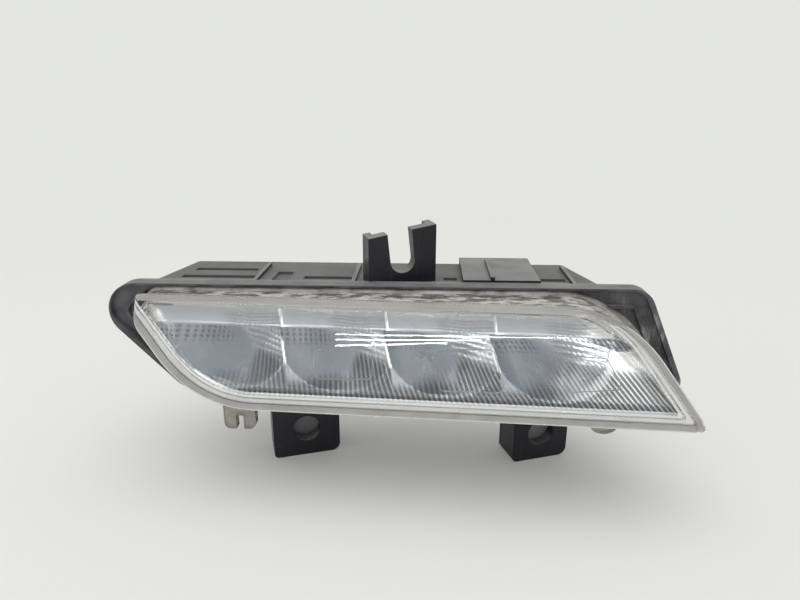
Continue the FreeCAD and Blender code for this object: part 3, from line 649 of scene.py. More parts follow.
@dataclass(frozen=True)
class MirrorFinish(Finish):
    """Aluminised mirror with painted shade between its flutes and painted highlights."""

    band_z: Span = (53.9, 57.9)
    warm: Colour = (0.66, 0.655, 0.645)
    # Colour of the painted shade and dark reflections between the flutes.
    painted_shade: Colour = (0.06, 0.062, 0.068)
    # Colour of the painted highlights on ridges, bead, crease and ends.
    painted_highlight: Colour = (0.95, 0.95, 0.94)
    # Normal that painted highlights lean to, so they mirror the bright room overhead.
    highlight_tilt: Colour = (0.0, -0.665, 0.746)

    def build(self, shelf: EffectShelf) -> Material:
        """Make the mirror material.

        Args:
            shelf: the shared effects.

        Returns:
            The finished material.
        """
        material, graph, shader = new_material(self.name)
        # Painted shade and painted highlights come as attributes on the reflector's mesh.
        painted_highlight, painted_shade = (graph.add(Shape.ATTRIBUTE, attribute_name=name).outputs["Fac"]
                        for name in ("painted_highlight", "painted_shade"))
        upper = graph.between(graph.split()["Z"], *(z * MM for z in self.band_z))
        tone = graph.between(graph.noise(self.patch, 4.0), 0.3, 0.7)
        colour = graph.blend(tone, self.colour, self.second)
        # A warm tint on the upper band; painted highlights lighten and painted shade darkens the
        # colour.
        for share, tint in ((upper, self.warm), (painted_highlight, self.painted_highlight), (painted_shade, self.painted_shade)):
            colour = graph.blend(share, colour, tint)
        rough = graph.between(graph.noise(self.patch * 2.3, 5.0), 0.3, 0.7, *self.roughness)
        # Painted highlights also tilt the shading normal up towards the bright room overhead.
        own = graph.add(Shape.GEOMETRY).outputs["Normal"]
        plain = graph.vector("SCALE", {0: own, "Scale": graph.math("SUBTRACT", 1.0, painted_highlight)})
        highlight_tilt = graph.vector("SCALE", {0: self.highlight_tilt, "Scale": painted_highlight})
        tilted = graph.vector("NORMALIZE", {0: graph.vector("ADD", {0: plain, 1: highlight_tilt})})
        grain = shelf.use(graph, Effect.GRAIN, Scale=self.grain)
        graph.supply(shader, {"Metallic": 1.0, "Base Color": colour, "Roughness": rough,
                              "Normal": graph.bump(grain, 0.25, self.relief, tilted)})
        return material


BLACK_MOULDING = HousingFinish(
    "black_moulding", (0.012, 0.012, 0.017), (0.020, 0.019, 0.025), roughness=(0.30, 0.45),
    specular=0.3, dust=0.9, dust_colour=(0.27, 0.275, 0.26), scratches=0.2,
    scratch_colour=(0.07, 0.07, 0.075), edge=0.0004)
# Front of the foot webs: dust and a painted fill light, far lighter than the moulding, standing in
# for the light inside the fixing holes.
DUST_AND_FILL_WEB = Finish("web_dust_and_painted_fill", (0.30, 0.29, 0.305), (0.25, 0.243, 0.256),
                   roughness=(0.6, 0.75), dust=0.3, scratches=0.0)
DARK_WEB = Finish("dark_web", (0.014, 0.014, 0.018), (0.022, 0.021, 0.026),
                  roughness=(0.35, 0.5), dust=0.3, scratches=0.0)
CLEAR_MOULDING = ClearFinish("clear_moulding", (1.0, 1.0, 1.0), (0.985, 0.985, 0.975),
                             roughness=(0.0, 0.012), patch=45.0, scratches=0.3)
HAZY_WALL = ClearFinish("hazy_lens_wall", (0.93, 0.92, 0.90), (0.78, 0.75, 0.70),
                        roughness=(0.18, 0.4), patch=90.0, relief=0.0002, scratches=0.3,
                        transmission=0.72)
SMEARED_WALL = ClearFinish("smeared_lens_wall", (0.88, 0.865, 0.84), (0.20, 0.18, 0.165),
                           roughness=(0.2, 0.45), patch=210.0, relief=0.0001, scratches=0.3,
                           transmission=0.45, run=(0.4, 1.0, 1.5), bounds=(0.42, 0.58))
WARM_HAZE = ClearFinish("warm_lens_haze", (0.78, 0.76, 0.73), (0.62, 0.595, 0.56),
                        roughness=(0.1, 0.25), scratches=0.3, transmission=0.45,
                        run=(0.3, 1.0, 1.0))
MILKY_FRAME = ClearFinish("milky_lens_frame", (0.93, 0.93, 0.915), (0.84, 0.84, 0.82),
                          roughness=(0.12, 0.28), patch=70.0, relief=0.0001, scratches=0.4,
                          transmission=0.3)
DULL_EDGE = ClearFinish("dull_lens_edge", (0.74, 0.725, 0.70), (0.62, 0.605, 0.58),
                        roughness=(0.10, 0.25), relief=0.00005, scratches=0.3, transmission=0.5)
MILKY_LUG = ClearFinish("milky_lens_lug", (0.52, 0.50, 0.45), (0.42, 0.40, 0.355),
                        roughness=(0.2, 0.35), patch=140.0, relief=0.00006, scratches=0.2,
                        transmission=0.6)
ALUMINISED = MirrorFinish("aluminised_mirror", (0.78, 0.81, 0.835), (0.83, 0.85, 0.87),
                          roughness=(0.18, 0.28), patch=50.0, grain=900.0, relief=0.00001)
SEALANT = Finish("lens_sealant", (0.50, 0.49, 0.47), (0.20, 0.16, 0.13), roughness=(0.3, 0.55),
                 patch=150.0, grain=900.0, relief=0.0002, scratches=0.0)
SOLDER_MASK = Finish("solder_mask", (0.55, 0.57, 0.55), (0.48, 0.50, 0.49),
                     roughness=(0.25, 0.4), grain=4000.0, relief=0.00001)
CAST_ALUMINIUM = Finish("cast_aluminium", (0.46, 0.47, 0.48), (0.36, 0.37, 0.385), metallic=1.0,
                        roughness=(0.38, 0.6), grain=1600.0, relief=0.00006, dust=0.3,
                        edge=0.0003, scratches=0.3, scratch_colour=(0.7, 0.7, 0.7))
FOAM_GASKET = Finish("foam_gasket", (0.028, 0.028, 0.030), (0.05, 0.05, 0.052),
                     roughness=(0.8, 0.95), grain=3600.0, relief=0.00012, scratches=0.0)
ZINC_STEEL = Finish("zinc_steel", (0.60, 0.60, 0.57), (0.48, 0.49, 0.50), metallic=1.0,
                    roughness=(0.25, 0.45), grain=5000.0, relief=0.00001, scratches=0.3,
                    edge=0.0002)
LED_PACKAGE = Finish("led_package", (0.82, 0.74, 0.30), (0.86, 0.82, 0.62),
                     roughness=(0.25, 0.35), patch=700.0, scratches=0.0)
TINNED_BRASS = Finish("tinned_brass", (0.70, 0.66, 0.55), (0.76, 0.74, 0.70), metallic=1.0,
                      roughness=(0.2, 0.35), grain=6000.0, relief=0.00001)
MOULDED_EPOXY = Finish("moulded_epoxy", (0.018, 0.018, 0.02), (0.035, 0.035, 0.037),
                       roughness=(0.5, 0.7), grain=7000.0, relief=0.00002)
FERRITE = Finish("ferrite", (0.045, 0.045, 0.05), (0.07, 0.07, 0.075), roughness=(0.45, 0.65),
                 grain=5000.0)
ALUMINIUM_CAN = Finish("aluminium_can", (0.72, 0.73, 0.74), (0.62, 0.63, 0.65), metallic=1.0,
                       roughness=(0.2, 0.3), grain=5000.0, relief=0.00001)
CHIP_CERAMIC = Finish("chip_ceramic", (0.06, 0.06, 0.065), (0.11, 0.10, 0.10),
                      roughness=(0.4, 0.6), grain=7000.0)
VENT_FILM = Finish("vent_film", (0.78, 0.78, 0.77), (0.70, 0.70, 0.69), roughness=(0.7, 0.9),
                   grain=6000.0, scratches=0.0)
VENT_RUBBER = Finish("vent_rubber", (0.022, 0.022, 0.023), (0.04, 0.04, 0.041),
                     roughness=(0.55, 0.75), grain=3000.0, dust=0.4, scratches=0.1)

PLAIN_NODES: dict[Finish, tuple[str, ...]] = {
    SOLDER_MASK: ("led_board",),
    CAST_ALUMINIUM: ("heat_sink",),
    FOAM_GASKET: ("sink_gasket",),
    ZINC_STEEL: ("sink_screws", "clamp_screws"),
    VENT_FILM: ("vent_film",),
    VENT_RUBBER: ("vent_cap",),
    LED_PACKAGE: ("led_1", "led_2", "led_3", "led_4"),
    TINNED_BRASS: ("terminal_1", "terminal_2", "terminal_3"),
    MOULDED_EPOXY: ("driver_chip", "input_diode"),
    FERRITE: ("choke_coil",),
    ALUMINIUM_CAN: ("filter_capacitor",),
    CHIP_CERAMIC: ("sense_resistors",),
}
LENS_OUTLINE = Outline(((-87.6, 62.9), (63.3, 62.9), (85.4, 32.1), (-61.8, 32.1)),
                       (7.0, 34.0, 1.9, 38.0))
LENS_FRONT = LENS_OUTLINE.inset([0.0, -0.6, -1.4, -0.4])


def dress(node: Piece, material: Material) -> None:
    """Give every slot of an object one material.

    Args:
        node: the object.
        material: the material for it.
    """
    if not node.data.materials:
        node.data.materials.append(material)
    for slot in node.material_slots:
        slot.material = material


@dataclass(frozen=True)
class Spots:
    """Places on the reflector, with what its patterns need to know of them."""

    x: Array
    z: Array
    across: Array
    ridge: Array
    phase: Array
    recess: Array
    height: Array


@dataclass(frozen=True)
class BowlPattern:
    """Moulded pattern of the bowls and the apron: relief, painted shade and highlights."""

    pillow_z: float = 1.45
    row_lean: float = 0.12
    flute_h: float = 0.11
    oval_mid: Span = (-0.8, 45.0)
    oval_half: Span = (10.5, 4.6)
    oval_edge: Zone = Zone((0.92, 1.12))
    pillow_up: Zone = Zone((47.8, 49.4))
    pillow_across: Zone = Zone((-12.5, -9.0))
    right_across: Zone = Zone((7.5, 9.5))
    right_up: Zone = Zone((42.5, 44.5))
    right_along: Zone = Zone(fall=(42.0, 48.0))
    right_gain: float = 1.4
    row_mix: Span = (0.55, 0.75)
    stroke_edge: Zone = Zone((0.2, 0.8))
    crest_edge: Zone = Zone((0.35, 0.8))
    depth_lift: float = 0.33
    # Painted shade and dark reflections: at the foot, in a zone rising from it, on the shoulder
    # ticks and in the right end's patch.
    foot_up: Zone = Zone(fall=(2.6, 3.4))
    foot_dark: Span = (0.34, 0.56)
    dark_reach: Colour = (5.4, 6.0, 4.5)
    dark_right: Zone = Zone((6.0, 12.0))
    dark_left: Zone = Zone(fall=(-15.0, -11.5))
    dark_strength: Colour = (0.7, 0.3, 0.2)
    dark_start: Zone = Zone((-50.0, -28.0))
    dark_end: Zone = Zone((36.0, 52.0))
    dark_fade: Zone = Zone(fall=(-2.0, 1.0))
    dark_tone: Span = (0.26, 0.56)
    shoulder_up: Zone = Zone((48.0, 49.4), (52.6, 53.4))
    shoulder_across: Zone = Zone(fall=(1.0, 6.0))
    tick_edge: Zone = Zone((0.6, 0.92))
    tick_row: Zone = Zone(fall=(0.7, 0.95))
    tick_tone: float = 0.5
    patch_mid: Span = (61.0, 52.0)
    patch_half: Span = (6.5, 1.8)
    patch_edge: Zone = Zone(fall=(0.8, 1.1))
    patch_tone: Span = (0.35, 0.45)
    # Painted highlights: the pale corner, the ridges' bead and the bright right end.
    corner_across: Zone = Zone((7.0, 10.0))
    corner_up: Zone = Zone((45.5, 46.8), (52.0, 53.4))
    corner_tone: float = 0.55
    line_up: Zone = Zone((42.6, 43.8))
    end_along: Zone = Zone((45.0, 54.0))
    end_lean: Span = (0.4, 44.0)
    end_recess: Zone = Zone(fall=(0.5, 3.0))
    end_foot: Zone = Zone(fall=(44.0, 47.0))
    end_tone: Span = (0.92, 0.5)

    def rows(self, spots: Spots) -> Array:
        """Crests of the pillow rows."""
        return wave((spots.z - self.row_lean * spots.across) / self.pillow_z)

    def relief(self, spots: Spots) -> Array:
        """Height of flutes and pillows.

        Args:
            spots: places on the plain surface.

        Returns:
            Forward displacement.
        """
        flutes, steps = wave(spots.phase), self.rows(spots)
        oval = np.hypot((spots.across - self.oval_mid[0]) / self.oval_half[0],
                        (spots.z - self.oval_mid[1]) / self.oval_half[1])
        right = self.right_across.at(spots.across) * self.right_up.at(spots.z)
        above = self.pillow_up.at(spots.z) * self.pillow_across.at(spots.across)
        rows = np.maximum(above, right)
        mixed = flutes * self.row_mix[0] + steps * self.row_mix[1]
        pattern = flutes * (1 - rows) + mixed * rows
        gain = 1 + self.right_gain * right * self.right_along.at(spots.x)
        return self.flute_h * pattern * self.oval_edge.at(oval) * gain

    def painted_shade(self, spots: Spots, patch: Array, stroke: Array,
               seen: Array) -> Array:
        """Painted shade: at the foot, between the flutes and in the end's patch.

        Args:
            spots: places on the plain surface.
            patch: share of the dark patch at the right end.
            stroke: share of a flute's dark side.
            seen: heights at which the camera sees the places.

        Returns:
            How much painted shade each place gets.
        """
        across = spots.across
        base, more_right, more_left = self.dark_reach
        reach = (base + more_right * self.dark_right.at(across)
                 + more_left * self.dark_left.at(across))
        base, start, end = self.dark_strength
        strength = base + start * self.dark_start.at(spots.x) - end * self.dark_end.at(spots.x)
        rising = self.dark_fade.at(spots.height - reach) * strength
        tick = self.tick_edge.at(wave(spots.phase + 0.5)) * self.tick_row.at(
            wave(seen / self.pillow_z))
        shoulder = self.shoulder_up.at(seen) * self.shoulder_across.at(across)
        found = [self.tick_tone * shoulder * tick]
        for share, (plain, dark) in ((self.foot_up.at(spots.height), self.foot_dark),
                                     (rising, self.dark_tone), (patch, self.patch_tone)):
            found.append(share * (plain + dark * stroke))
        return np.maximum.reduce(found)

    def tones(self, spots: Spots, line: Array) -> tuple[Array, Array]:
        """Painted shade and painted highlights of the bowls and the apron.

        Args:
            spots: places on the plain surface.
            line: share of the ridges' bead, painted as a highlight.

        Returns:
            How much painted shade and how much painted highlight each place gets.
        """
        x, z = spots.x, spots.z
        stroke = self.stroke_edge.at(wave(spots.phase + 0.5))
        crest = self.crest_edge.at(self.rows(spots))
        seen = z + self.depth_lift * spots.recess
        patch = self.patch_edge.at(np.hypot((x - self.patch_mid[0]) / self.patch_half[0],
                                            (z - self.patch_mid[1]) / self.patch_half[1]))
        corner = self.corner_across.at(spots.across) * self.corner_up.at(seen)
        end = self.end_along.at(x + self.end_lean[0] * (z - self.end_lean[1]))
        end = end * (1 - patch) * self.end_recess.at(spots.recess)
        bright, dim = self.end_tone
        # Painted highlights: pale corner, ridges' bead and bright right end.
        painted_highlight = np.maximum.reduce([self.corner_tone * corner * (1 - crest),
                                  line * self.line_up.at(z),
                                  bright * end * (1 - dim * stroke * self.end_foot.at(z))])
        return self.painted_shade(spots, patch, stroke, seen), painted_highlight


@dataclass(frozen=True)
class BandPattern:
    """Moulded pattern of the band above the deck: relief, painted shade and highlights."""

    hollow: float = 0.3
    chamber: float = 18.0
    pillow: float = 0.12
    pillow_across: Zone = Zone((2.0, 6.0))
    pillow_up: Zone = Zone((0.02, 0.12), (0.5, 0.75))
    edge: Colour = (0.2, 0.2, 0.25)
    # Painted shade: dark rows and a dark slot near the left end.
    row_z: float = 0.9
    row_swing: Span = (0.7, 0.4)
    row_across: Zone = Zone((0.0, 5.0))
    row_up: Zone = Zone(fall=(56.5, 58.0))
    row_tone: float = 0.3
    slot_up: Zone = Zone((58.4, 58.9), (60.0, 60.5))
    slot_along: Zone = Zone(fall=(-69.5, -68.0))
    slot_tone: float = 0.75
    # Painted highlights: ridge lines, crease glints, a glare patch at the left end, the bright
    # right end and a least share everywhere.
    line_up: Zone = Zone(fall=(59.0, 60.0))
    crease: Span = (0.15, 0.22)
    glint: Colour = (0.1, 0.9, 4.5)
    # Painted highlight: a glare patch at the left end.
    glare_along: Zone = Zone(fall=(-74.0, -69.6))
    glare_lean: Span = (0.5, 56.0)
    glare_up: Zone = Zone(fall=(57.2, 58.4))
    end_along: Zone = Zone((46.0, 60.0))
    bright: float = 0.9
    least: float = 0.12

    def relief(self, spots: Spots, share: Array, rise: Array,
               pillows: Array) -> Array:
        """Height of pillows and edge over the chambers' hollows.

        Args:
            spots: places on the plain surface.
            share: heights as a share of the band.
            rise: heights over the deck.
            pillows: crests of the pillows.

        Returns:
            Forward displacement.
        """
        hollow = self.hollow * np.sin(math.pi * share) * (1 - (spots.across / self.chamber) ** 2)
        zone = self.pillow_across.at(spots.across) * self.pillow_up.at(share)
        height, middle, width = self.edge
        return self.pillow * pillows * zone + height * hump(rise - middle, width) - hollow

    def tones(self, spots: Spots, line: Array,
              rise: Array) -> tuple[Array, Array]:
        """Painted shade and painted highlights of the band.

        Args:
            spots: places on the surface.
            line: share of the ridges' bead, painted as a highlight.
            rise: heights over the deck.

        Returns:
            How much painted shade and how much painted highlight each place gets.
        """
        x, z = spots.x, spots.z
        swing, pace = self.row_swing
        rows = np.abs(np.sin(math.pi * z / self.row_z + swing * np.sin(x * pace)))
        zone = self.row_across.at(spots.across) * self.row_up.at(z)
        slot = self.slot_up.at(z) * self.slot_along.at(x)
        plain, more, width = self.glint
        crease = hump(rise - self.crease[0], self.crease[1])
        # Painted glare patch at the left end.
        lean, level = self.glare_lean
        glare = self.glare_along.at(x + lean * (z - level)) * self.glare_up.at(z)
        # Painted highlights: ridge lines, crease glints, the left glare patch, the right end and a
        # least share.
        painted_highlight = np.maximum.reduce([line * self.line_up.at(z),
                                  crease * (plain + more * hump(spots.ridge, width)),
                                  self.bright * glare, self.bright * self.end_along.at(x),
                                  np.full(x.shape, self.least)])
        return np.maximum(self.row_tone * rows * zone, self.slot_tone * slot), painted_highlight


@dataclass
class Reflector:
    """Four-chamber reflector with flutes, pillows, ridges and a beaded lip."""

    axes: LampAxes
    bowl_pattern: BowlPattern = BowlPattern()
    band_pattern: BandPattern = BandPattern()
    margins: tuple[float, ...] = (2.6, 2.9, 2.6, 3.2)
    radii: tuple[float, ...] = (3.0, 31.4, 0.8, 34.6)
    setback: float = 4.0
    deepest: float = 22.0
    lip_w: float = 1.2
    lip_h: float = 0.5
    lip_edge: Span = (0.1, 0.15)
    lip_top: Span = (2.6, 1.4)
    # Share of the painted highlight on the lip's bead.
    lip_tone: float = 0.85
    scallop: Span = (0.7, 0.3)
    focal: float = 4.0
    count: int = 4
    pitch: float = 31.5
    axis_z: float = 54.6
    deck_z: float = 53.7
    flute: float = 1.55
    flute_lean: tuple[float, ...] = (0.85, 62.0, 125.0, 1.2)
    rib_h: float = 0.3
    rib_w: float = 0.42
    rib_inside: Zone = Zone((-1.5, 0.5))
    # Share of the ridges' bead that is painted as a highlight.
    rib_tone: Zone = Zone((0.25, 0.7))
    fine_z: Span = (1.8, 1.4)
    fine_x: float = 0.011
    skin: float = 0.9

    def __post_init__(self) -> None:
        """Find the outline of the reflector inside the lens."""
        self.outline = Outline(LENS_FRONT.inset(list(self.margins)).corners, self.radii)
        self.low, self.top = self.outline.corners[2][1], self.outline.corners[0][1]

    def bowls(self, s: Array, z: Array) -> tuple[Array, Array, Array]:
        """The four paraboloids, as reach along the car's axis.

        Args:
            s: places across the car's axis.
            z: heights.

        Returns:
            Reach of the nearest bowl, offset from its middle, and distance to the
            nearest ridge.
        """
        focus_x = self.axes.led_x + self.pitch * np.arange(self.count)
        focus_y = self.axes.led_y - self.axes.sweep * focus_x
        focus_s, focus_t = self.axes.aside(focus_x, focus_y), self.axes.ahead(focus_x, focus_y)
        rise = (z - self.axis_z) ** 2
        reach = np.stack([t - self.focal + ((s - c) ** 2 + rise) / (4 * self.focal)
                          for c, t in zip(focus_s, focus_t)])
        middles = ((focus_s[:-1] + focus_s[1:]) / 2
                   + 2 * self.focal * np.diff(focus_t) / np.diff(focus_s))
        ridge = np.full(s.shape, 1e9)
        for middle in middles:
            ridge = np.where(np.abs(s - middle) < np.abs(ridge), s - middle, ridge)
        return reach.min(0), s - focus_s[reach.argmin(0)], ridge

    def base_depth(self, x: Array, z: Array) -> tuple[Array, Array]:
        """Depth of bowls and apron seen from the front.

        Args:
            x: places along the lamp.
            z: heights below the deck.

        Returns:
            The y of the surface, and how far inside a bowl each place is.
        """
        def beyond(y: Array) -> Array:
            """Distance in front of the bowls along the car's axis."""
            return self.axes.ahead(x, y) - self.bowls(self.axes.aside(x, y), z)[0]

        front = self.axes.face_y(x, z, self.setback)
        inside = beyond(front)
        low, high = front.copy(), np.full(x.shape, self.deepest)
        for _ in range(42):
            middle = (low + high) / 2
            ahead = beyond(middle) > 0
            low = np.where(ahead, middle, low)
            high = np.where(ahead, high, middle)
        return np.where(inside > 0, low, front), inside

    def flute_phase(self, x: Array, z: Array) -> Array:
        """Place along the bottom edge, in flutes, that a point's flute starts from.

        Args:
            x: places along the lamp.
            z: heights.

        Returns:
            The count of flutes up to each place.
        """
        most, start, length, power = self.flute_lean
        foot = x.copy()
        for _ in range(12):
            lean = most * np.clip((foot + start) / length, 0, 1) ** power
            foot = x + lean * (z - self.low)
        return foot / self.flute

    def spots(self, x: Array, y: Array, z: Array) -> Spots:
        """Work out what the patterns need to know of places.

        Args:
            x: places along the lamp.
            y: depths.
            z: heights.

        Returns:
            The places with their bowls and flutes.
        """
        _, across, ridge = self.bowls(self.axes.aside(x, y), z)
        recess = np.maximum(y - self.axes.face_y(x, z, self.setback), 0.0)
        return Spots(x, z, across, ridge, self.flute_phase(x, z), recess, z - self.low)

    def lower_band(self, x: Array, z: Array) -> tuple[Array, ...]:
        """Bowls and apron below the deck.

        Args:
            x: places along the lamp.
            z: heights.

        Returns:
            Depth, painted shade and painted highlight of each place.
        """
        y, inside = self.base_depth(x, z)
        spots = self.spots(x, y, z)
        bead = hump(spots.ridge, self.rib_w)
        tones = self.bowl_pattern.tones(spots, self.rib_tone.at(bead))
        rib = self.rib_h * bead * self.rib_inside.at(inside)
        return y - (self.bowl_pattern.relief(spots) + rib), *tones

    def upper_band(self, x: Array, z: Array) -> tuple[Array, ...]:
        """Band above the deck, with its chambers.

        Args:
            x: places along the lamp.
            z: heights.

        Returns:
            Depth, painted shade and painted highlight of each place.
        """
        front = self.axes.face_y(x, z, self.setback)
        spots = self.spots(x, front, z)
        rise = z - self.deck_z
        share = np.clip(rise / (self.top - self.deck_z), 0, 1)
        pillows = wave(x / self.flute) * wave(z / self.bowl_pattern.pillow_z)
        rib = self.rib_h * hump(spots.ridge, self.rib_w)
        y = front - self.band_pattern.relief(spots, share, rise, pillows) - rib
        spots = self.spots(x, y, z)
        line = self.rib_tone.at(hump(spots.ridge, self.rib_w))
        return y, *self.band_pattern.tones(spots, line, rise)

    def build(self) -> Piece:
        """Model the reflector as one skin and give it thickness.

        Returns:
            The reflector piece.
        """
        lower = graded((self.low, self.low + self.fine_z[0], self.deck_z), (13, 48))
        upper = graded((self.deck_z, self.top - self.fine_z[1], self.top), (18, 8))
        share = graded((0.0, self.fine_x, 1 - self.fine_x, 1.0), (8, 560, 8))
        rows, painted_shades, painted_highlights = [], [], []
        for band, heights in ((self.lower_band, lower), (self.upper_band, upper)):
            left, right = self.outline.limits(heights)
            x = left[:, None] + (right - left)[:, None] * share[None, :]
            z = np.repeat(heights[:, None], len(share), axis=1)
            y, painted_shade, painted_highlight = band(x, z)
            edge = self.outline.edge_distance(x, z)
            half = self.lip_w / 2
            bead = self.lip_h * np.sqrt(np.clip(1 - ((edge - half) / half) ** 2, 0, 1))
            plain, more = self.scallop
            bead = bead * (plain + more * np.cos(2 * math.pi * self.flute_phase(x, z)))
            below = 1 - smooth(*(self.top - drop for drop in self.lip_top), z)
            held = 1 - smooth(self.lip_w - self.lip_edge[0], self.lip_w + self.lip_edge[1], edge)
            y = y * (1 - held) + (self.axes.face_y(x, z, self.setback) - bead) * held
            rows.append(np.stack([x, y, z], -1))
            painted_shades.append(painted_shade * (1 - held))
            # The lip's bead below the top is painted as a highlight.
            painted_highlights.append(np.maximum(painted_highlight * (1 - held), self.lip_tone * held * below))
        grid = np.concatenate(rows)
        count_z, count_x = grid.shape[:2]
        starts = [r * count_x + c for r in range(count_z - 1) for c in range(count_x - 1)]
        faces = [(i, i + 1, i + count_x + 1, i + count_x) for i in starts]
        points = self.axes.metres(grid.reshape(-1, 3))
        piece = mesh_object("reflector_mirror", points, faces, 32.0)
        # Painted shade and painted highlights go on the mesh as attributes for the mirror's
        # colour.
        for name, values in (("painted_shade", painted_shades), ("painted_highlight", painted_highlights)):
            tone = piece.data.attributes.new(name, "FLOAT", "POINT")
            tone.data.foreach_set("value", np.concatenate(values).ravel())
        skin = piece.modifiers.new("skin", "SOLIDIFY")
        skin.thickness = self.skin * MM
        skin.offset = -1.0
        return piece

    def dress(self, piece: Piece, shelf: EffectShelf) -> None:
        """Finish the reflector and put it in the frame.

        Args:
            piece: the piece to finish.
            shelf: the shared effects.
        """
        dress(piece, ALUMINISED.build(shelf))
        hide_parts("reflector")
        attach(piece, "root")


class LensPart(Enum):
    """Material slots of the lens, in order."""

    CLEAR = 0
    WALL = 1
    FRAME = 2
    EDGE = 3
    LUG = 4
    TOP = 5
    HAZE = 6


LENS_FINISHES = (CLEAR_MOULDING, HAZY_WALL, MILKY_FRAME, DULL_EDGE, MILKY_LUG, SMEARED_WALL,
                 WARM_HAZE)


@dataclass
class LensMoulding:
    """Raked clear lens with a stepped frame, two lugs and moulded lines."""

    axes: LampAxes
    wall: float = 2.0
    bevel: tuple[float, ...] = (0.06, 4.6, 4.8, 5.8)
    bevel_h: float = 1.2
    smear: float = 1.9
    top_run: tuple[int, int] = (6, 52)
    steps: tuple[tuple[float, float, LensPart], ...] = (
        (0.00, 0.00, LensPart.WALL), (0.08, 0.14, LensPart.FRAME), (0.42, 0.22, LensPart.EDGE),
        (0.48, 0.46, LensPart.CLEAR), (0.54, 0.48, LensPart.EDGE), (0.74, 0.54, LensPart.FRAME),
        (0.80, 0.80, LensPart.CLEAR), (0.86, 0.83, LensPart.EDGE), (1.00, 1.00, LensPart.FRAME))
    foot: float = 1.6
    lugs: tuple[tuple[float, float, float, float, bool], ...] = (
        (-49.3, 9.8, 11.6, 0.2, True), (62.2, 9.2, 10.6, 0.45, False))
    lug_y: float = -8.0
    lug_t: float = 3.0
    notch_w: float = 2.4
    notch_h: float = 4.6
    nub_r: float = 1.1
    nub_in: float = 0.7
    nub_y: Span = (0.4, 2.2)
    lines: tuple[tuple[Span, ...], ...] = (
        ((-24.5, 48.4), (-7.4, 49.0), (-7.2, 40.6), (-24.4, 40.0)),
        ((9.8, 49.8), (27.4, 50.3), (31.0, 38.6), (12.3, 38.2)),
        ((44.0, 49.7), (58.8, 49.2), (63.8, 40.8), (47.8, 39.4)))
    line_r: Span = (1.6, 0.3)
    line_w: float = 0.26
    line_h: float = 0.12
    points: list[Array] = field(default_factory=list)
    faces: list[tuple[int, ...]] = field(default_factory=list)
    parts: list[LensPart] = field(default_factory=list)
    flat: list[bool] = field(default_factory=list)

    def add_ring(self, ring: Array) -> int:
        """Keep a ring of points and return the number of its first."""
        self.points.append(ring)
        return sum(len(kept) for kept in self.points[:-1])

    def add_face(self, face: Sequence[int], part: LensPart, flat: bool = True) -> None:
        """Keep one face with its part.

        Args:
            face: numbers of its points.
            part: which part of the lens it is.
            flat: whether it is shaded flat.
        """
        self.faces.append(tuple(face))
        self.parts.append(part)
        self.flat.append(flat)

    def join_rings(self, a: int, b: int, count: int, part: LensPart,
                   top: LensPart | None = None) -> None:
        """Span two rings with quads.

        Args:
            a: first point of one ring.
            b: first point of the other.
            count: points on each ring.
            part: which part of the lens the quads are.
            top: which part they are along the top, if another.
        """
        for i in range(count):
            j = (i + 1) % count
            along_top = self.top_run[0] <= i < self.top_run[1]
            self.add_face((a + i, a + j, b + j, b + i), top if top and along_top else part, False)

    def face_ring(self, inset: float, share: float, back: float, strip: float = 0.0) -> int:
        """Add a ring parallel to the lens face.

        Args:
            inset: distance in from the lens outline.
            share: share of the frame's width.
            back: distance behind the outer face.
            strip: further distance in from the top.

        Returns:
            Number of the ring's first point.
        """
        outline = LENS_FRONT.inset(inset).inset([w * share for w in self.bevel])
        if strip:
            outline = outline.inset([strip, 0.02, 0.02, 0.02])
        return self.add_ring(self.axes.on_face(outline.ring(), back))

    def add_shell(self) -> None:
        """Build the tray: outer steps, face, inside and foot."""
        feet = [self.add_ring(lay(outline.ring(), self.foot))
                for outline in (LENS_OUTLINE, LENS_OUTLINE.inset(self.wall))]
        count = len(self.points[0])
        last = feet[0]
        for share, rise, part in self.steps:
            ring = self.face_ring(0.0, share, self.bevel_h * (1 - rise))
            top = LensPart.TOP if part is LensPart.WALL else LensPart.WALL
            self.join_rings(ring, last, count, part, top)
            last = ring
        clear = self.face_ring(0.0, 1.0, 0.0, self.smear)
        self.join_rings(clear, last, count, LensPart.CLEAR, LensPart.HAZE)
        self.add_face(range(clear, clear + count)[::-1], LensPart.CLEAR)
        skirt = self.face_ring(self.wall, 0.0, self.wall + self.bevel_h)
        panel = self.face_ring(self.wall, 1.0, self.wall)
        self.join_rings(feet[1], skirt, count, LensPart.WALL)
        self.join_rings(skirt, panel, count, LensPart.CLEAR)
        self.add_face(range(panel, panel + count), LensPart.CLEAR)
        self.join_rings(feet[0], feet[1], count, LensPart.FRAME)

    def add_prism(self, front: Array, back: Array, part: LensPart) -> None:
        """Close two rings to a prism.

        Args:
            front: points of the front.
            back: points of the back.
            part: which part of the lens it is.
        """
        count = len(front)
        a, b = self.add_ring(front), self.add_ring(back)
        self.join_rings(b, a, count, part)
        self.add_face(range(a, a + count), part)
        self.add_face(range(b, b + count)[::-1], part)

    def add_lugs(self) -> None:
        """Build the lugs under the lower wall."""
        top = LENS_OUTLINE.corners[2][1]
        turn = np.linspace(0, math.pi / 2, 7)
        for x, width, drop, rounded, notched in self.lugs:
            low, half, r = top - drop, width / 2, width * rounded
            left = np.stack([x - half + r - r * np.cos(turn), low + r - r * np.sin(turn)], 1)
            right = np.stack([2 * x - left[::-1, 0], left[::-1, 1]], 1)
            gap = []
            if notched:
                n, high = self.notch_w / 2, low + self.notch_h
                gap = [[(x - n, low), (x - n, high), (x + n, high), (x + n, low)]]
            ring = np.concatenate([[(x - half, top)], left, *gap, right, [(x + half, top)]])
            ends = (lay(ring, self.lug_y + side * self.lug_t / 2) for side in (-1, 1))
            self.add_prism(*ends, LensPart.LUG)

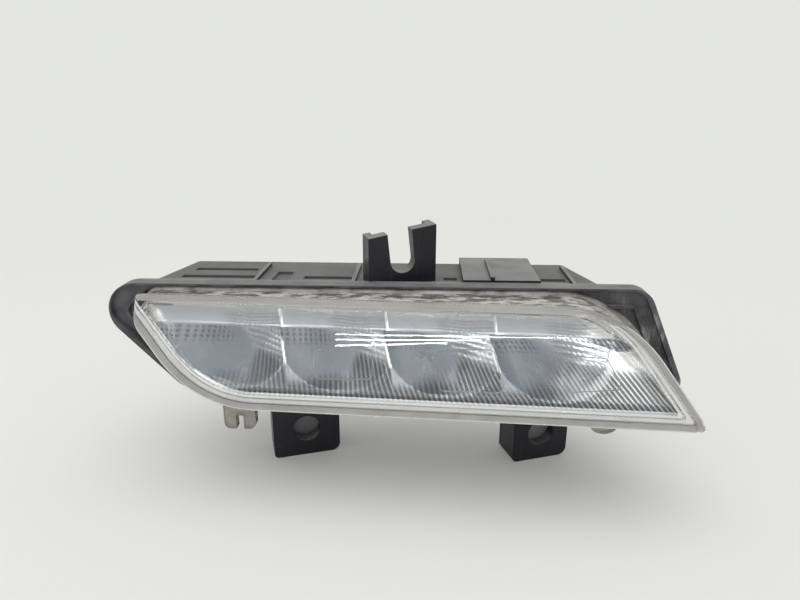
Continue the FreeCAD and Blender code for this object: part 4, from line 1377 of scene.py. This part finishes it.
    def add_nub(self) -> None:
        """Build the small nub at the pointed end."""
        x, z = LENS_FRONT.inset(self.nub_in).arcs(2)[2][1]
        turn = np.linspace(0, 2 * math.pi, 24, endpoint=False)
        ring = np.stack([x + self.nub_r * np.cos(turn), z + self.nub_r * np.sin(turn)], 1)
        self.add_prism(*(self.axes.on_face(ring, back) for back in self.nub_y), LensPart.WALL)

    def add_lines(self) -> None:
        """Build the thin moulded lines on the inside of the face."""
        for corners in self.lines:
            shape = Outline(corners, (self.line_r[0],) * len(corners))
            wide, core = shape.ring(8, 2), shape.inset(self.line_w, self.line_r[1]).ring(8, 2)
            section = ((wide, 0.0), (wide, self.line_h), (core, self.line_h), (core, 0.0))
            rings = [self.add_ring(self.axes.on_face(ring, self.wall + back))
                     for ring, back in section]
            for a, b in zip(rings, rings[1:] + rings[:1]):
                self.join_rings(a, b, len(wide), LensPart.FRAME)

    def build(self) -> Piece:
        """Model the lens.

        Returns:
            The lens piece.
        """
        self.add_shell()
        self.add_lugs()
        self.add_nub()
        self.add_lines()
        points = self.axes.metres(np.concatenate(self.points))
        piece = mesh_object("lens_moulding", points, self.faces, 20.0)
        piece.data.polygons.foreach_set("use_smooth", [not flat for flat in self.flat])
        return piece

    def dress(self, piece: Piece, shelf: EffectShelf) -> None:
        """Finish the lens part by part and put it in the frame.

        Args:
            piece: the piece to finish.
            shelf: the shared effects.
        """
        for finish in LENS_FINISHES:
            piece.data.materials.append(finish.build(shelf))
        piece.data.polygons.foreach_set("material_index", [p.value for p in self.parts])
        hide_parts("outer_lens")
        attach(piece, "root")


@dataclass
class SealantJoint:
    """Sealant under the lens foot, squeezed out on both sides of the wall."""

    axes: LampAxes
    wall: float = 2.0
    clear: float = 0.3
    play: Span = (0.04, 0.02)
    bed_y: Span = (1.6, 2.2)
    top_z: Span = (61.5, 62.6)
    swells: tuple[int, ...] = (60, 70, 60, 70)
    round_steps: tuple[int, int] = (18, 90)
    seed: int = 7

    def wander(self, count: int, waves: int, rng: np.random.Generator) -> Array:
        """Smooth closed noise from 0 to 1 round the joint.

        Args:
            count: number of places.
            waves: highest number of swells round the joint.
            rng: seeded source of numbers.

        Returns:
            One value for each place.
        """
        angle = np.linspace(0, 2 * math.pi, count, endpoint=False)
        value = np.zeros(count)
        for k in range(1, waves + 1):
            value += rng.normal() * np.sin(k * angle + rng.uniform(0, 6.28)) / k ** 0.35
        value -= value.min()
        return value / value.max()

    def build(self) -> Piece:
        """Sweep an uneven U-shaped section round the lens foot.

        Returns:
            The sealant piece.
        """
        rng = np.random.default_rng(self.seed)
        near, far = (outline.ring(*self.round_steps)
                     for outline in (LENS_OUTLINE, LENS_OUTLINE.inset(1.0)))
        count = len(near)
        out_w, out_h, in_w, in_h = [self.wander(count, waves, rng) for waves in self.swells]
        top = smooth(*self.top_z, near[:, 1])
        wall, (gap, fit), (bed, deep) = self.wall, self.play, self.bed_y
        outer, inner = fit - self.clear, wall + self.clear - fit
        section: list[tuple[Values, Values]] = [
            (-gap, -0.35 - 1.1 * out_h - 0.5 * top),
            (-0.40 - 0.2 * out_w - 0.35 * top, -0.28 - 0.7 * out_h - 0.3 * top),
            (-0.62 - 0.35 * out_w - 0.38 * top, -0.03),
            (outer, 0.05),
            (outer, deep),
            (inner, deep),
            (inner, 0.05),
            (wall + 0.5 + 0.5 * in_w, -0.03),
            (wall + 0.35 + 0.2 * in_w, -0.3 - 0.7 * in_h),
            (wall + gap, -0.4 - 1.2 * in_h),
            (wall + gap, bed + fit),
            (-gap, bed + fit),
        ]
        rings = [lay(near + (far - near) * np.broadcast_to(amount, count)[:, None], depth)
                 for amount, depth in section]
        sides = len(section)
        faces = []
        for i in range(count):
            j = (i + 1) % count
            for a in range(sides):
                b = (a + 1) % sides
                faces.append((a * count + i, a * count + j, b * count + j, b * count + i))
        points = self.axes.metres(np.concatenate(rings))
        return mesh_object("sealant_squeeze", points, faces, 60.0)

    def dress(self, piece: Piece, shelf: EffectShelf) -> None:
        """Finish the sealant and put it in the frame.

        Args:
            piece: the piece to finish.
            shelf: the shared effects.
        """
        dress(piece, SEALANT.build(shelf))
        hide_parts("sealant_bead")
        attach(piece, "root")


@dataclass
class FootWebs:
    """Thin webs in the cores of the feet, a little behind the fixing holes."""

    axes: LampAxes
    feet: tuple[tuple[float, ...], ...] = ((-43.4, 6.1, 22.8, 5.6), (38.1, 7.3, 20.2, 4.3))
    wall: float = 2.55
    thick: float = 0.8
    low: float = 2.55
    high: float = 31.0
    sides: tuple[tuple[int, ...], ...] = ((0, 1, 2, 3), (7, 6, 5, 4), (4, 5, 1, 0),
                                          (5, 6, 2, 1), (6, 7, 3, 2), (7, 4, 0, 3))

    def build(self) -> Piece:
        """Model the webs.

        Returns:
            The webs as one piece.
        """
        along = np.array([self.axes.cos_t, self.axes.sin_t, 0.0])
        behind = np.array([-self.axes.sin_t, self.axes.cos_t, 0.0])
        points, faces = [], []
        for x, y, width, back in self.feet:
            start = len(points)
            left, right = self.wall, width - self.wall
            for depth in (back, back + self.thick):
                for run, z in ((left, self.low), (right, self.low),
                               (right, self.high), (left, self.high)):
                    points.append(np.array([x, y, z]) + along * run + behind * depth)
            faces += [tuple(start + i for i in side) for side in self.sides]
        return mesh_object("foot_webs", self.axes.metres(np.array(points)), faces, 20.0)

    def dress(self, piece: Piece, shelf: EffectShelf) -> None:
        """Finish the webs, dusty and painted lighter in front, and put them in the frame.

        Args:
            piece: the piece to finish.
            shelf: the shared effects.
        """
        # The front faces get dust and painted fill light; the rest stays dark moulding.
        for finish in (DUST_AND_FILL_WEB, DARK_WEB):
            piece.data.materials.append(finish.build(shelf))
        slots = [0 if i == 0 else 1 for i in range(len(self.sides))] * len(self.feet)
        piece.data.polygons.foreach_set("material_index", slots)
        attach(piece, "root")


@dataclass
class PhotoCamera:
    """Camera of the photograph, in the frame's metres."""

    place: Colour = (0.009514, -0.190618, 0.1190)
    toward: Colour = (-0.0414, 0.9491, -0.3123)
    lens: float = 27.9

    def build(self) -> None:
        """Make the camera and give it to the scene."""
        data = bpy.data.cameras.new("photo_camera")
        data.lens = self.lens
        data.sensor_width = 36.0
        data.clip_start = 0.01
        camera = bpy.data.objects.new("photo_camera", data)
        camera.location = self.place
        camera.rotation_euler = Vector(self.toward).to_track_quat("-Z", "Y").to_euler()
        bpy.context.scene.collection.objects.link(camera)
        bpy.context.scene.camera = camera


@dataclass
class Studio:
    """Pale floor with a swept backdrop, soft lamps and a pale room, in metres."""

    width: float = 6.0
    front: float = -2.5
    back: float = 1.1
    sweep: float = 0.9
    sweep_steps: int = 24
    height: float = 3.0
    colour: Colour = (0.80, 0.80, 0.775)
    second: float = 0.985
    even: Colour = (0.775, 0.785, 0.75)
    even_from: Span = (0.22, 0.62)
    # Share of the even glow near the lamp: a painted lift of the cast shadow.
    near_shadow_lift: float = 0.16
    room_top: Colour = (0.95, 0.95, 0.95)
    room_side: Colour = (0.80, 0.80, 0.79)
    room_front: Colour = (0.53, 0.55, 0.57)
    room_low: Colour = (0.47, 0.48, 0.50)
    panels: tuple[tuple[str, Colour, Colour, Span, float], ...] = (
        ("overhead", (0.0, -0.25, 1.7), (0.0, -0.05, 0.0), (2.2, 2.0), 11.0),
        ("side_panel", (-1.1, -0.5, 0.35), (0.0, 0.0, 0.05), (0.35, 0.6), 1.6))
    tubes: tuple[tuple[Span, Span, float], ...] = (
        ((-18.4, 53.5), (29.0, 54.4), 0.0028), ((-18.3, 52.0), (24.0, 53.4), 0.0032),
        ((-18.3, 50.4), (14.0, 52.3), 0.0032), ((28.5, 54.4), (48.0, 54.8), 0.0014))
    tube_away: float = 1.3
    tube_glow: float = 28.0

    def build_floor(self) -> None:
        """Make the floor and backdrop as one swept sheet."""
        profile = [(self.front, 0.0), (self.back, 0.0)]
        for angle in np.linspace(0, math.pi / 2, self.sweep_steps + 1)[1:]:
            profile.append((self.back + self.sweep * math.sin(angle),
                            self.sweep * (1 - math.cos(angle))))
        profile.append((self.back + self.sweep, self.height))
        points = [(side * self.width / 2, y, z) for y, z in profile for side in (-1, 1)]
        faces = [(i, i + 1, i + 3, i + 2) for i in range(0, len(points) - 2, 2)]
        floor = mesh_object("studio_sweep", np.array(points), faces, 60.0)
        dress(floor, self.paper())

    def paper(self) -> Material:
        """Pale paper: shadow near the lamp lifted by a painted glow, even far from it.

        Returns:
            The material of the sweep.
        """
        material, graph, shader = new_material("studio_paper")
        tone = graph.between(graph.noise(3.0, 2.0), 0.3, 0.7)
        colour = graph.blend(tone, self.colour, tuple(c * self.second for c in self.colour))
        graph.supply(shader, {"Roughness": 0.9, "Specular IOR Level": 0.1, "Base Color": colour})
        even = graph.add(Shape.GLOW, {"Color": (*self.even, 1.0)})
        ray = graph.add(Shape.RAY).outputs
        seen = graph.math("MAXIMUM", ray["Is Camera Ray"], ray["Is Glossy Ray"])
        seen = graph.math("MAXIMUM", seen, ray["Is Transmission Ray"])
        place = graph.add(Shape.PLACE).outputs["Object"]
        away = graph.add(Shape.VECTOR, {0: place}, operation="LENGTH").outputs["Value"]
        # Glow share: a painted lift of the shadow near the lamp, rising to an even glow far from
        # it.
        far = graph.between(away, *self.even_from, self.near_shadow_lift, 1.0)
        mix = graph.add(Shape.MIX_SHADER, {0: graph.product(seen, far), 1: shader.outputs[0],
                                           2: even.outputs[0]})
        graph.supply(material.node_tree.nodes["Material Output"], {"Surface": mix.outputs[0]})
        return material

    def build_room(self) -> None:
        """Make the pale room: brightest overhead, a little cooler in front."""
        world = bpy.data.worlds.new("pale_room")
        bpy.context.scene.world = world
        world.use_nodes = True
        graph = Graph(world.node_tree)
        toward = graph.split(graph.add(Shape.PLACE).outputs["Generated"])
        up = graph.between(toward["Z"], 0.55, 0.98)
        low = graph.between(toward["Z"], -0.02, 0.3)
        front = graph.between(graph.product(toward["Y"], -1.0), -0.1, 0.9)
        ahead = graph.blend(low, self.room_low, self.room_front)
        around = graph.blend(front, self.room_side, ahead)
        graph.supply(world.node_tree.nodes["Background"],
                     {"Color": graph.blend(up, around, self.room_top), "Strength": 1.0})

    def hang(self, name: str, size: Span, power: float, place: Vector, turn: Matrix) -> None:
        """Add one rectangular lamp.

        Args:
            name: name of the lamp.
            size: width and height in metres.
            power: watts.
            place: its middle.
            turn: its rotation.
        """
        data = bpy.data.lights.new(name, "AREA")
        data.shape = "RECTANGLE"
        data.size, data.size_y = size
        data.energy = power
        lamp = bpy.data.objects.new(name, data)
        lamp.matrix_world = Matrix.Translation(place) @ turn.to_4x4()
        bpy.context.scene.collection.objects.link(lamp)

    def streak(self, name: str, axes: LampAxes, ends: Sequence[Span], width: float) -> None:
        """Hang a thin tube where the lens face mirrors it to the camera.

        Args:
            name: name of the lamp.
            axes: axes of the lens face.
            ends: (x, z) places on the face between which the streak shows.
            width: width of the tube in metres.
        """
        eye = Vector(PhotoCamera().place)
        normal = Vector((axes.sweep, 1.0, -axes.rake)).normalized()
        spots = [Vector(spot) for spot in axes.metres(axes.on_face(np.array(ends), 0.0))]
        rays = [(spot - eye).normalized() for spot in spots]
        start, end = (spot + (ray - 2 * ray.dot(normal) * normal) * self.tube_away
                      for spot, ray in zip(spots, rays))
        middle = (start + end) / 2
        along = (end - start).normalized()
        out = (middle - spots[0]).normalized()
        out = (out - along * out.dot(along)).normalized()
        turn = Matrix((along, out.cross(along), out)).transposed()
        self.hang(name, ((end - start).length, width), self.tube_glow * width, middle, turn)

    def build_lamps(self, axes: LampAxes) -> None:
        """Hang the soft lamps and the thin tubes.

        Args:
            axes: axes of the lens face.
        """
        for name, place, aim, size, power in self.panels:
            turn = (Vector(aim) - Vector(place)).to_track_quat("-Z", "Y").to_matrix()
            self.hang(name, size, power, Vector(place), turn)
        for i, (start, end, width) in enumerate(self.tubes, 1):
            self.streak("tube_%d" % i, axes, (start, end), width)


def main() -> None:
    """Build the pieces, finishes, camera and light."""
    logging.basicConfig(level=logging.INFO, format="%(message)s")
    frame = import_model()
    axes = LampAxes()
    axes.find_shift()
    shelf = EffectShelf()
    PhotoCamera().build()
    for finish, names in PLAIN_NODES.items():
        material = finish.build(shelf)
        for name in names:
            dress(frame["nodes"][name], material)
            LOG.info("finished %s as %s", name, finish.name)
    dress(frame["nodes"]["housing"], BLACK_MOULDING.build_for(shelf, axes))
    LOG.info("finished housing as %s", BLACK_MOULDING.name)
    for kind in (LensMoulding, FootWebs, Reflector, SealantJoint):
        assembly = kind(axes)
        piece = assembly.build()
        assembly.dress(piece, shelf)
        LOG.info("modelled %s", piece.name)
    studio = Studio()
    studio.build_floor()
    studio.build_room()
    studio.build_lamps(axes)
    scene = bpy.context.scene
    scene.view_settings.view_transform = "Standard"
    scene.cycles.max_bounces = 20
    scene.cycles.transmission_bounces = 16
    scene.cycles.glossy_bounces = 10
    scene.cycles.use_denoising = True


if __name__ == "__main__":
    main()
